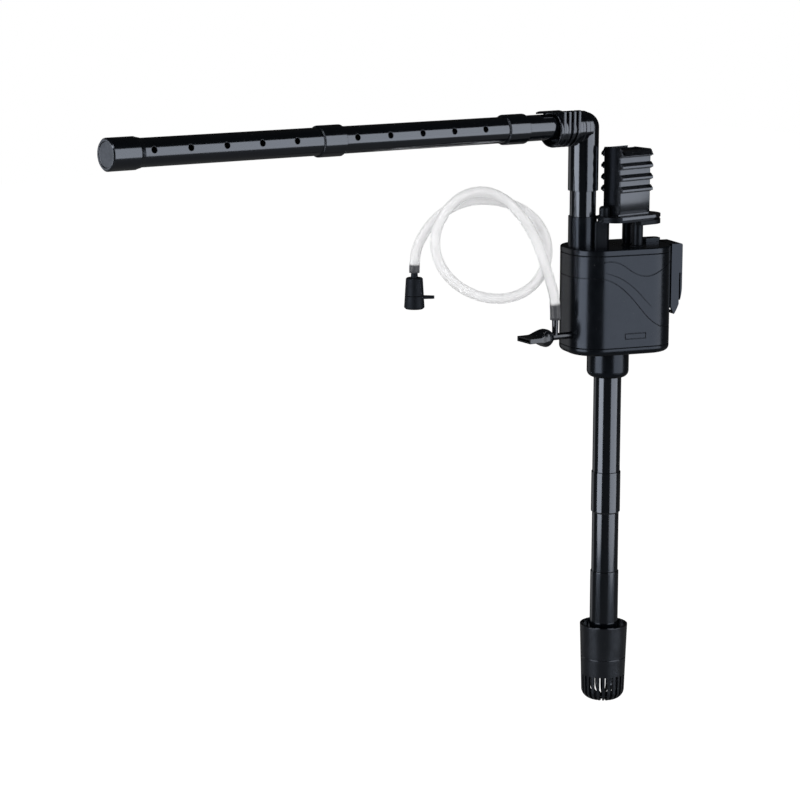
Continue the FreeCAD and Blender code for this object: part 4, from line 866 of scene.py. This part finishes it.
def hose_tree():
    """Sweeps the hose's outer and inner walls along its line."""
    tree, take, give = geometry_tree("Hose wall", (
        ("Outside radius", "NodeSocketFloat", 0.003),
        ("Bore radius", "NodeSocketFloat", 0.002),
        ("Vinyl", "NodeSocketMaterial", None)))
    line = add(tree, "GeometryNodeMeshToCurve", {"Mesh": take["Geometry"]})
    width = add(tree, "GeometryNodeInputNamedAttribute", {"Name": "widening"},
                data_type="FLOAT")
    walls = add(tree, "GeometryNodeJoinGeometry")
    for label, flip in (("Outside radius", False), ("Bore radius", True)):
        radius = add(tree, "ShaderNodeMath", {0: take[label], 1: width.outputs[0]},
                     operation="ADD")
        sized = add(tree, "GeometryNodeSetCurveRadius",
                    {"Curve": line.outputs[0], "Radius": radius.outputs[0]})
        ring = add(tree, "GeometryNodeCurvePrimitiveCircle",
                   {"Resolution": 28, "Radius": 1.0})
        swept = add(tree, "GeometryNodeCurveToMesh",
                    {"Curve": sized.outputs[0], "Profile Curve": ring.outputs[0]})
        for socket in swept.inputs:
            if socket.name == "Scale":
                tree.links.new(radius.outputs[0], socket)
        side = swept.outputs[0]
        if flip:
            side = add(tree, "GeometryNodeFlipFaces", {"Mesh": side}).outputs[0]
        tree.links.new(side, walls.inputs[0])
    return close_tree(tree, give, walls.outputs[0], take["Vinyl"])


def close_ends(mesh):
    """Join the outer and inner walls at both ends of the hose."""
    work = bmesh.new()
    work.from_mesh(mesh)
    open_edges = [edge for edge in work.edges if len(edge.link_faces) == 1]
    near = Vector(HOSE_ROUTE[0])
    for group in (True, False):
        ring = [edge for edge in open_edges
                if ((edge.verts[0].co - near).length < 0.01) == group]
        bmesh.ops.bridge_loops(work, edges=ring)
    bmesh.ops.recalc_face_normals(work, faces=work.faces)
    work.to_mesh(mesh)
    work.free()


class FILTER_OT_air_hose(bpy.types.Operator):
    """Make the clear hose along its coil, from the barb to the regulator"""
    bl_idname = "pump_filter.air_hose"
    bl_label = "Air hose"

    def execute(self, context):
        values = settings().hose
        mesh, points = hose_line()
        walked = [0.0]
        for before, after in zip(points, points[1:]):
            walked.append(walked[-1] + (after - before).length)
        length = walked[-1]
        widening = mesh.attributes.new("widening", "FLOAT", "POINT")
        over_barb = mesh.attributes.new("over_barb", "FLOAT", "POINT")
        for index, distance in enumerate(walked):
            share = 0.0
            for barb, start in ((TEE_BARB, distance), (VALVE_BARB, length - distance)):
                near = (barb + BARB_FADE - start) / BARB_FADE
                share = max(share, min(1.0, near))
            widening.data[index].value = values.swell * share
            over_barb.data[index].value = 1.0 if share > 0.99 else 0.0
        vinyl = clear_vinyl("Clear vinyl", tuple(values.colour), values.milkiness)
        wall = grow("Hose source", mesh, hose_tree(), {
            "Outside radius": values.outside / 2.0, "Bore radius": values.bore / 2.0,
            "Vinyl": vinyl})
        close_ends(wall)
        for face in wall.polygons:
            face.use_smooth = True
        hose = finished("air_hose", wall, vinyl, "pump")
        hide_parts("air_tube")
        return {"FINISHED"}


# ---------------------------------------------------------------- finishes
class FILTER_OT_pipes(bpy.types.Operator):
    """Finish the riser, elbow, spray bar and suction pipes in glossy black"""
    bl_idname = "pump_filter.pipes"
    bl_label = "Pipes"

    def execute(self, context):
        values = settings().plastic
        black = tuple(values.pipe)
        worn = tuple(values.rubbed)
        upright = plastic("Glossy pipe upright", black, worn, 0.13, gloss=0.7,
                          gloss_roughness=0.06, grain=0.8, axis="Z", depth=0.10,
                          marks=0.3, rub=0.35, specular=0.9)
        level = plastic("Glossy pipe level", black, worn, 0.14, gloss=0.7,
                        gloss_roughness=0.07, grain=0.8, axis="X", depth=0.10,
                        marks=0.3, rub=0.35, specular=0.9)
        moulded = plastic("Glossy fitting", black, worn, 0.13, gloss=0.7,
                          gloss_roughness=0.06, grain=0.5, waviness=0.35, depth=0.10,
                          marks=0.3, rub=0.45, specular=0.9)
        dress(upright, "riser_tube", "suction_tube_upper", "suction_tube_lower",
              "strainer_neck")
        # The end cap's face along -X is painted paler grey as painted light, and is made
        # rougher.
        capped = plastic("Cap with a painted lit end", black, worn, 0.14, gloss=0.7,
                         gloss_roughness=0.07, grain=0.8, axis="X", depth=0.10,
                         marks=0.3, rub=0.5, specular=0.9,
                         matte_end_painted_light=tuple(values.cap_end_painted_light))
        dress(level, "spray_stub", "spray_tube_inner", "spray_tube_outer")
        dress(capped, "end_cap")
        dress(moulded, "elbow")
        return {"FINISHED"}


# Slope of the bar, place of the riser along the pump, height of the bell's axis,
# and the angle between faces from which an edge of a fin is rounded.
BAR_RISE = math.radians(0.64)
RISER_SHIFT = -22.0 * MM
BELL_LEVEL = 52.7 * MM
SHARP_EDGE = 0.9


def fin_plate():
    """One clamp fin: upright front and rounded foot, bored for the bell."""
    reach = 11.1 * MM
    crown = 11.0 * MM
    bore = 9.65 * MM
    shoulder = 9.6 * MM
    foot_steps = 40
    shoulder_steps = 14
    outline = []
    for step in range(foot_steps + 1):
        angle = math.pi * step / foot_steps
        outline.append((reach * math.cos(angle), -reach * math.sin(angle)))
    outline.append((-reach, crown - 0.9 * MM))
    outline.append((-reach + 0.26 * MM, crown - 0.26 * MM))
    outline.append((-reach + 0.9 * MM, crown))
    for step in range(shoulder_steps):
        angle = math.radians(100.0 - 100.0 * step / shoulder_steps)
        outline.append((reach * math.cos(angle) * 0.97, shoulder * math.sin(angle)))
    count = len(outline)
    hole = []
    for y, z in outline:
        angle = math.atan2(z, y)
        hole.append((bore * math.cos(angle), bore * math.sin(angle)))
    work = bmesh.new()
    rings = []
    for loop, x in ((outline, 0.5), (outline, -0.5), (hole, -0.5), (hole, 0.5)):
        rings.append([work.verts.new((x, y, z)) for y, z in loop])
    for first, second in zip(rings, rings[1:] + rings[:1]):
        for index in range(count):
            after = (index + 1) % count
            work.faces.new((first[index], first[after], second[after], second[index]))
    bmesh.ops.recalc_face_normals(work, faces=work.faces)
    mesh = bpy.data.meshes.new("Fin plate")
    work.to_mesh(mesh)
    work.free()
    return mesh


def fin_tree():
    """Sets fins side by side along the bell."""
    tree, take, give = geometry_tree("Bell fins", (
        ("Count", "NodeSocketInt", 4), ("Pitch", "NodeSocketFloat", 0.0038),
        ("Thickness", "NodeSocketFloat", 0.0019), ("First", "NodeSocketFloat", 0.0128),
        ("Plastic", "NodeSocketMaterial", None)))
    start = add(tree, "ShaderNodeMath", {0: take["First"], 1: -1.0},
                operation="MULTIPLY")
    step = add(tree, "ShaderNodeMath", {0: take["Pitch"], 1: -1.0},
               operation="MULTIPLY")
    first = add(tree, "ShaderNodeCombineXYZ", {"X": start.outputs[0]})
    along = add(tree, "ShaderNodeCombineXYZ", {"X": step.outputs[0]})
    row = add(tree, "GeometryNodeMeshLine", {"Count": take["Count"],
                                             "Start Location": first.outputs[0],
                                             "Offset": along.outputs[0]})
    thick = add(tree, "ShaderNodeCombineXYZ", {"X": take["Thickness"], "Y": 1.0,
                                               "Z": 1.0})
    fins = add(tree, "GeometryNodeInstanceOnPoints",
               {"Points": row.outputs[0], "Instance": take["Geometry"],
                "Scale": thick.outputs[0]})
    return close_tree(tree, give, fins.outputs[0], take["Plastic"])


class FILTER_OT_bell_fins(bpy.types.Operator):
    """Make the row of fins round the elbow's bell"""
    bl_idname = "pump_filter.bell_fins"
    bl_label = "Bell fins"

    def execute(self, context):
        values = settings().fins
        colours = settings().plastic
        satin = plastic("Fin plastic", tuple(colours.pipe), tuple(colours.rubbed),
                        0.2, gloss=0.6, gloss_roughness=0.1, grain=0.5, waviness=0.2,
                        depth=0.08, marks=0.3, rub=0.5, specular=0.9)
        fins = grow("Fin source", fin_plate(), fin_tree(), {
            "Count": values.count, "Pitch": values.pitch,
            "Thickness": values.thickness, "First": values.first, "Plastic": satin})
        rise = Matrix.Rotation(BAR_RISE, 4, "Y")
        riser = on_pump() @ Vector((RISER_SHIFT, 0.0, 0.0))
        place = Matrix.Translation((riser.x, riser.y, BELL_LEVEL))
        fins.transform(place @ rise)
        work = bmesh.new()
        work.from_mesh(fins)
        sharp = [edge for edge in work.edges if edge.calc_face_angle(0.0) > SHARP_EDGE]
        bmesh.ops.bevel(work, geom=sharp, offset=0.22 * MM, segments=2, affect="EDGES")
        bmesh.ops.recalc_face_normals(work, faces=work.faces)
        work.to_mesh(fins)
        work.free()
        shade_smooth(fins, 40.0)
        finished("bell_fins", fins, satin, "riser")
        return {"FINISHED"}


def ridge_tree():
    """Sweeps a low round bead along a line on the casing."""
    tree, take, give = geometry_tree("Casing bead", (
        ("Radius", "NodeSocketFloat", 0.0004), ("Plastic", "NodeSocketMaterial", None)))
    line = add(tree, "GeometryNodeMeshToCurve", {"Mesh": take["Geometry"]})
    ring = add(tree, "GeometryNodeCurvePrimitiveCircle",
               {"Resolution": 12, "Radius": take["Radius"]})
    swept = add(tree, "GeometryNodeCurveToMesh",
                {"Curve": line.outputs[0], "Profile Curve": ring.outputs[0],
                 "Fill Caps": True})
    return close_tree(tree, give, swept.outputs[0], take["Plastic"])


# The bead's line across a face of the casing, as x and z in mm.
BEAD_LINE = ((-16.6, -32.5), (-9.3, -34.7), (-4.2, -37.4), (1.0, -41.2), (6.1, -45.9),
             (10.8, -51.3), (15.4, -55.7), (19.3, -58.2))


BEAD_RADIUS = 0.4 * MM

# The casing's outline in mm: half the length of its flat face, the radius of its
# corners, and the distance of the corners' centres from the middle plane.
FACE_HALF = 14.75
FACE_CORNER = 18.0
CORNER_SHIFT = 4.5


def casing_depth(x):
    """Distance of the casing's face from its middle plane, in mm."""
    past_flat = max(0.0, abs(x) - FACE_HALF)
    return CORNER_SHIFT + math.sqrt(FACE_CORNER ** 2 - past_flat ** 2)


def bead_points(side):
    """The bead's line on one face; it sinks into the casing towards its end."""
    points = []
    for x, z in BEAD_LINE:
        sunk = 0.22 + 0.02 * max(0.0, x - 10.0)
        points.append((x * MM, side * (casing_depth(x) - sunk) * MM, z * MM))
    return points


class FILTER_OT_casing_bead(bpy.types.Operator):
    """Make the faint raised bead that sweeps across the casing's faces"""
    bl_idname = "pump_filter.casing_bead"
    bl_label = "Casing bead"

    def execute(self, context):
        satin = bpy.data.materials["Satin casing"]
        sides = []
        for side in (-1.0, 1.0):
            path = smooth_line("Bead line", bead_points(side), order=4, resolution=8)
            sides.append(grow("Bead source", path, ridge_tree(),
                              {"Radius": BEAD_RADIUS, "Plastic": satin}))
        work = bmesh.new()
        for mesh in sides:
            work.from_mesh(mesh)
        bmesh.ops.recalc_face_normals(work, faces=work.faces)
        bead = bpy.data.meshes.new("casing_bead")
        work.to_mesh(bead)
        work.free()
        bead.transform(on_pump())
        shade_smooth(bead)
        finished("casing_bead", bead, satin, "pump")
        return {"FINISHED"}


class FILTER_OT_body(bpy.types.Operator):
    """Finish the casing, lid, cover and latch in satin blue-black"""
    bl_idname = "pump_filter.body"
    bl_label = "Pump body"

    def execute(self, context):
        values = settings().plastic
        satin = plastic("Satin casing", tuple(values.casing), tuple(values.rubbed),
                        0.22, gloss=0.0, grain=0.32, waviness=0.25, depth=0.10,
                        marks=0.5, rub=0.5, specular=0.46)
        dress(satin, "pump_casing", "top_lid", "bottom_cover", "latch_clip")
        return {"FINISHED"}


# Rib profile in mm: how far each old point stands out and up, and where it goes.
RIB_SHAPE = (
    ((1.5, 1.6), (0.5, 1.6)), ((2.3, 0.9), (2.3, -0.15)), ((2.3, 0.0), (2.35, -1.35)),
    ((1.8, -0.6), (2.1, -1.65)), ((1.1, -0.6), (1.0, -1.7)), ((1.1, -1.3), (1.0, -2.0)),
    ((0.8, -1.6), (0.7, -2.3)), ((2.3, 0.2), (0.5, 1.6)),
)
RIB_SHIFTS = (-0.45, -0.35, 0.0, 0.35)


# The post in mm: half its depth and width, the top rib's height and the ribs' pitch.
POST_HALF_DEPTH = 7.4
POST_HALF_WIDTH = 12.4
TOP_RIB = 38.0
RIB_PITCH = 7.3


def reshape_post(work):
    """Roof-shaped ribs and taller rim, on a copy of the post."""
    for vertex in work.verts:
        place = vertex.co
        x, y, z = (value / MM for value in place)
        if z < 2.0:
            continue
        reach = abs(y) - POST_HALF_DEPTH
        index = min(3, max(0, round((TOP_RIB - z) / RIB_PITCH)))
        rise = z - (TOP_RIB - RIB_PITCH * index)
        if reach > 0.05 and abs(x) < POST_HALF_WIDTH:
            new = min(RIB_SHAPE, key=lambda pair: (pair[0][0] - reach) ** 2
                      + (pair[0][1] - rise) ** 2)[1]
            side = 1.0 if y > 0.0 else -1.0
            place.y = side * (POST_HALF_DEPTH + new[0]) * MM
            place.z = (z - rise + new[1] + RIB_SHIFTS[index]) * MM
        elif z > 39.0:
            place.z = 40.9 * MM
        elif z > 38.1 and abs(z - 38.2) < 0.05:
            place.z = 39.6 * MM
        elif reach > -0.45 and abs(rise + 1.6) < 0.02:
            place.z = (z - 0.7 + RIB_SHIFTS[index]) * MM
        elif reach > -0.45 and abs(rise - 1.6) < 0.02:
            place.z = (z + RIB_SHIFTS[index]) * MM


# Where the knob at the flange's end begins; it gets the less glossy leg plastic, a shaded
# copy of the post's plastic that stands in for the shade on the knob.
KNOB_EDGE = -12.9 * MM


def reshape_yoke(work):
    """Turn the flat leg towards the riser, on a copy of the yoke."""
    middle = Vector((-17.4 * MM, 2.8 * MM, 0.0))
    turn = Matrix.Rotation(math.radians(-28.0), 4, "Z")
    for vertex in work.verts:
        x, y, z = (value / MM for value in vertex.co)
        if abs(x + 17.4) < 4.6 and abs(y - 2.8) < 2.6 and z < -3.2:
            vertex.co = middle + turn @ (vertex.co - middle)


class FILTER_OT_hanger(bpy.types.Operator):
    """Make and finish the ribbed post and its legs"""
    bl_idname = "pump_filter.hanger"
    bl_label = "Hanger"

    def execute(self, context):
        values = settings().plastic
        post = plastic("Hanger plastic", tuple(values.hanger), tuple(values.rubbed),
                       0.19, gloss=0.5, gloss_roughness=0.16, grain=0.4, waviness=0.2,
                       depth=0.08, marks=0.5, rub=0.5, specular=0.9)
        work = copied_mesh("hanger_post")
        reshape_post(work)
        standing = reshaped("ribbed_post", work, "hanger_post", post, "pump")
        # A shaded copy of the hanger plastic: the same colour with far less gloss, which
        # darkens the legs and the knob to stand in for the shade they lie in.
        legs = plastic("Shaded leg plastic", tuple(values.hanger), tuple(values.rubbed),
                       0.4, grain=0.4, waviness=0.2, depth=0.08, marks=0.5, rub=0.4,
                       specular=0.25)
        standing.data.materials.append(legs)
        for face in standing.data.polygons:
            if face.center.x < KNOB_EDGE:
                face.material_index = 1
        work = copied_mesh("hanger_yoke")
        reshape_yoke(work)
        reshaped("post_legs", work, "hanger_yoke", legs, "pump")
        return {"FINISHED"}


class FILTER_OT_strainer(bpy.types.Operator):
    """Finish the slotted strainer basket"""
    bl_idname = "pump_filter.strainer"
    bl_label = "Strainer"

    def execute(self, context):
        values = settings().plastic
        basket = plastic("Strainer plastic", tuple(values.hanger),
                         tuple(values.rubbed), 0.22, gloss=0.7, gloss_roughness=0.14,
                         grain=0.4, waviness=0.3, depth=0.10, marks=0.7, rub=0.5,
                         specular=0.9)
        dress(basket, "strainer_basket")
        return {"FINISHED"}


class FILTER_OT_air_fittings(bpy.types.Operator):
    """Finish the tee, the duckbill and the regulator"""
    bl_idname = "pump_filter.air_fittings"
    bl_label = "Air fittings"

    def execute(self, context):
        values = settings().plastic
        nozzle = plastic("Nozzle plastic", tuple(values.hanger),
                         tuple(values.rubbed), 0.2, gloss=0.8, gloss_roughness=0.12,
                         grain=0.4, waviness=0.25, depth=0.08, marks=0.5, rub=0.5)
        dress(nozzle, "venturi_tee", "duckbill")
        regulator = plastic("Regulator plastic", tuple(values.hanger),
                            tuple(values.rubbed), 0.56, grain=0.4, waviness=0.25,
                            depth=0.08, marks=0.5, rub=0.5, specular=0.3)
        dress(regulator, "valve_body", "valve_cap")
        return {"FINISHED"}


# ---------------------------------------------------------------- motor
WINDING_LENGTH = 17.0 * MM
FORMER_WALL = 3.5 * MM


def winding_tree():
    """Lays wire turns side by side round an upright former."""
    tree, take, give = geometry_tree("Winding", (
        ("Turns", "NodeSocketInt", 18), ("Pitch", "NodeSocketFloat", 0.00095),
        ("Wire radius", "NodeSocketFloat", 0.00045),
        ("Width", "NodeSocketFloat", 0.0138), ("Height", "NodeSocketFloat", 0.0243),
        ("Corner", "NodeSocketFloat", 0.0012), ("Copper", "NodeSocketMaterial", None)))
    loop = add(tree, "GeometryNodeCurvePrimitiveQuadrilateral",
               {"Width": take["Width"], "Height": take["Height"]}, mode="RECTANGLE")
    rounded = add(tree, "GeometryNodeFilletCurve", {"Curve": loop.outputs[0],
                                                    "Radius": take["Corner"]})
    for socket in rounded.inputs:
        if socket.name == "Count":
            socket.default_value = 4
        if socket.name == "Mode":
            socket.default_value = "Poly"
    if hasattr(rounded, "mode"):
        rounded.mode = "POLY"
    upright = add(tree, "GeometryNodeTransform",
                  {"Geometry": rounded.outputs[0],
                   "Rotation": (math.radians(90), 0.0, 0.0)})
    wire = add(tree, "GeometryNodeCurvePrimitiveCircle",
               {"Resolution": 8, "Radius": take["Wire radius"]})
    turn = add(tree, "GeometryNodeCurveToMesh",
               {"Curve": upright.outputs[0], "Profile Curve": wire.outputs[0]})
    step = add(tree, "ShaderNodeCombineXYZ", {"Y": take["Pitch"]})
    span = add(tree, "ShaderNodeMath", {0: take["Turns"], 1: -0.5}, operation="MULTIPLY")
    half = add(tree, "ShaderNodeMath", {0: span.outputs[0], 1: 0.5}, operation="ADD")
    first = add(tree, "ShaderNodeMath", {0: half.outputs[0], 1: take["Pitch"]},
                operation="MULTIPLY")
    start = add(tree, "ShaderNodeCombineXYZ", {"Y": first.outputs[0]})
    row = add(tree, "GeometryNodeMeshLine", {"Count": take["Turns"],
                                             "Start Location": start.outputs[0],
                                             "Offset": step.outputs[0]})
    turns = add(tree, "GeometryNodeInstanceOnPoints",
                {"Points": row.outputs[0], "Instance": turn.outputs[0]})
    both = add(tree, "GeometryNodeJoinGeometry")
    tree.links.new(take["Geometry"], both.inputs[0])
    tree.links.new(turns.outputs[0], both.inputs[0])
    return close_tree(tree, give, both.outputs[0], take["Copper"])


def former(width, length, height, wall):
    """Closed ring of inner turns, under the outer layer."""
    work = bmesh.new()
    rings = []
    for half_x, half_z in ((width / 2.0, height / 2.0),
                           (width / 2.0 - wall, height / 2.0 - wall)):
        for y in (-length / 2.0, length / 2.0):
            rings.append([work.verts.new((x, y, z)) for x, z in
                          ((-half_x, -half_z), (half_x, -half_z), (half_x, half_z),
                           (-half_x, half_z))])
    for first, second in ((0, 1), (1, 3), (3, 2), (2, 0)):
        for index in range(4):
            after = (index + 1) % 4
            work.faces.new((rings[first][index], rings[first][after],
                            rings[second][after], rings[second][index]))
    bmesh.ops.recalc_face_normals(work, faces=work.faces)
    bmesh.ops.bevel(work, geom=list(work.edges), offset=0.0004, segments=2,
                    affect="EDGES")
    mesh = bpy.data.meshes.new("Former")
    work.to_mesh(mesh)
    work.free()
    return mesh


class FILTER_OT_motor(bpy.types.Operator):
    """Wind the coil and finish the motor, rotor and seals"""
    bl_idname = "pump_filter.motor"
    bl_label = "Motor"

    def execute(self, context):
        values = settings().winding
        low, high = (Vector(corner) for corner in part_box("stator_coil"))
        middle = (low + high) / 2.0
        length = WINDING_LENGTH
        height = high.z - low.z
        turned = abs(math.sin(PUMP_TURN))
        width = ((high.x - low.x) - length * turned) / math.cos(PUMP_TURN)
        copper = enamelled_wire("Enamelled copper", (0.62, 0.28, 0.13))
        wire = values.wire
        core = former(width - 2.0 * wire, length - 0.2 * MM, height - 2.0 * wire,
                      FORMER_WALL)
        coil = grow("Winding source", core, winding_tree(), {
            "Turns": values.turns, "Pitch": (length - wire) / (values.turns - 1),
            "Wire radius": wire / 2.0, "Width": width - wire, "Height": height - wire,
            "Corner": 1.2 * MM, "Copper": copper})
        coil.transform(Matrix.Translation(middle) @ Matrix.Rotation(PUMP_TURN, 4, "Z"))
        face_outwards(coil)
        shade_smooth(coil)
        winding = finished("stator_winding", coil, copper, "pump")
        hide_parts("stator_coil")

        dress(plastic("Potting resin", (0.02, 0.021, 0.022), (0.06, 0.06, 0.06), 0.45,
                      grain=1.2, waviness=0.6, depth=0.15, marks=0.4, rub=0.2),
              "motor_block")
        dress(stacked_steel("Stacked plates"), "stator_core")
        dress(bare_metal("Ground shaft", (0.72, 0.72, 0.74), 0.18, 0.12),
              "rotor_shaft", "latch_pin")
        dress(pressed_ferrite("Pressed ferrite", (0.05, 0.05, 0.052)), "rotor_magnet")
        dress(plastic("Rotor plastic", (0.62, 0.62, 0.58), (0.75, 0.75, 0.72), 0.35,
                      grain=0.6, waviness=0.2, depth=0.06, marks=0.5, rub=0.3),
              "impeller", "pump_chamber")
        dress(soft_rubber("Seal rubber", (0.012, 0.012, 0.013)), "lid_gasket",
              "cover_gasket", "upper_bush", "cord_gland")
        return {"FINISHED"}


# ---------------------------------------------------------------- panel
PIECES = (FILTER_OT_stage, FILTER_OT_air_hose, FILTER_OT_pipes, FILTER_OT_bell_fins,
          FILTER_OT_body, FILTER_OT_casing_bead, FILTER_OT_hanger,
          FILTER_OT_strainer, FILTER_OT_air_fittings, FILTER_OT_motor)


class FILTER_PT_pieces(bpy.types.Panel):
    """Lists the pieces of the pump filter"""
    bl_idname = "FILTER_PT_pieces"
    bl_label = "Pump Filter"
    bl_space_type = "VIEW_3D"
    bl_region_type = "UI"
    bl_category = "Pump Filter"

    def draw(self, context):
        column = self.layout.column(align=True)
        for piece in PIECES:
            column.operator(piece.bl_idname, text=piece.bl_label)
        values = context.scene.pump_filter
        for group in (values.stage, values.plastic, values.hose, values.fins,
                      values.winding):
            box = self.layout.box()
            for name in group.__annotations__:
                box.prop(group, name)


CLASSES = (StageSettings, PlasticSettings, HoseSettings, FinSettings, WindingSettings,
           FilterSettings) + PIECES + (FILTER_PT_pieces,)


def register():
    """Register the classes and hang the settings on the scene."""
    for made in CLASSES:
        bpy.utils.register_class(made)
    bpy.types.Scene.pump_filter = bpy.props.PointerProperty(type=FilterSettings)


def unregister():
    """Take the settings and classes away again."""
    del bpy.types.Scene.pump_filter
    for made in reversed(CLASSES):
        bpy.utils.unregister_class(made)


def main():
    """Register the classes and make every piece in order."""
    register()
    for piece in PIECES:
        area, name = piece.bl_idname.split(".")
        getattr(getattr(bpy.ops, area), name)()


if __name__ == "__main__":
    main()
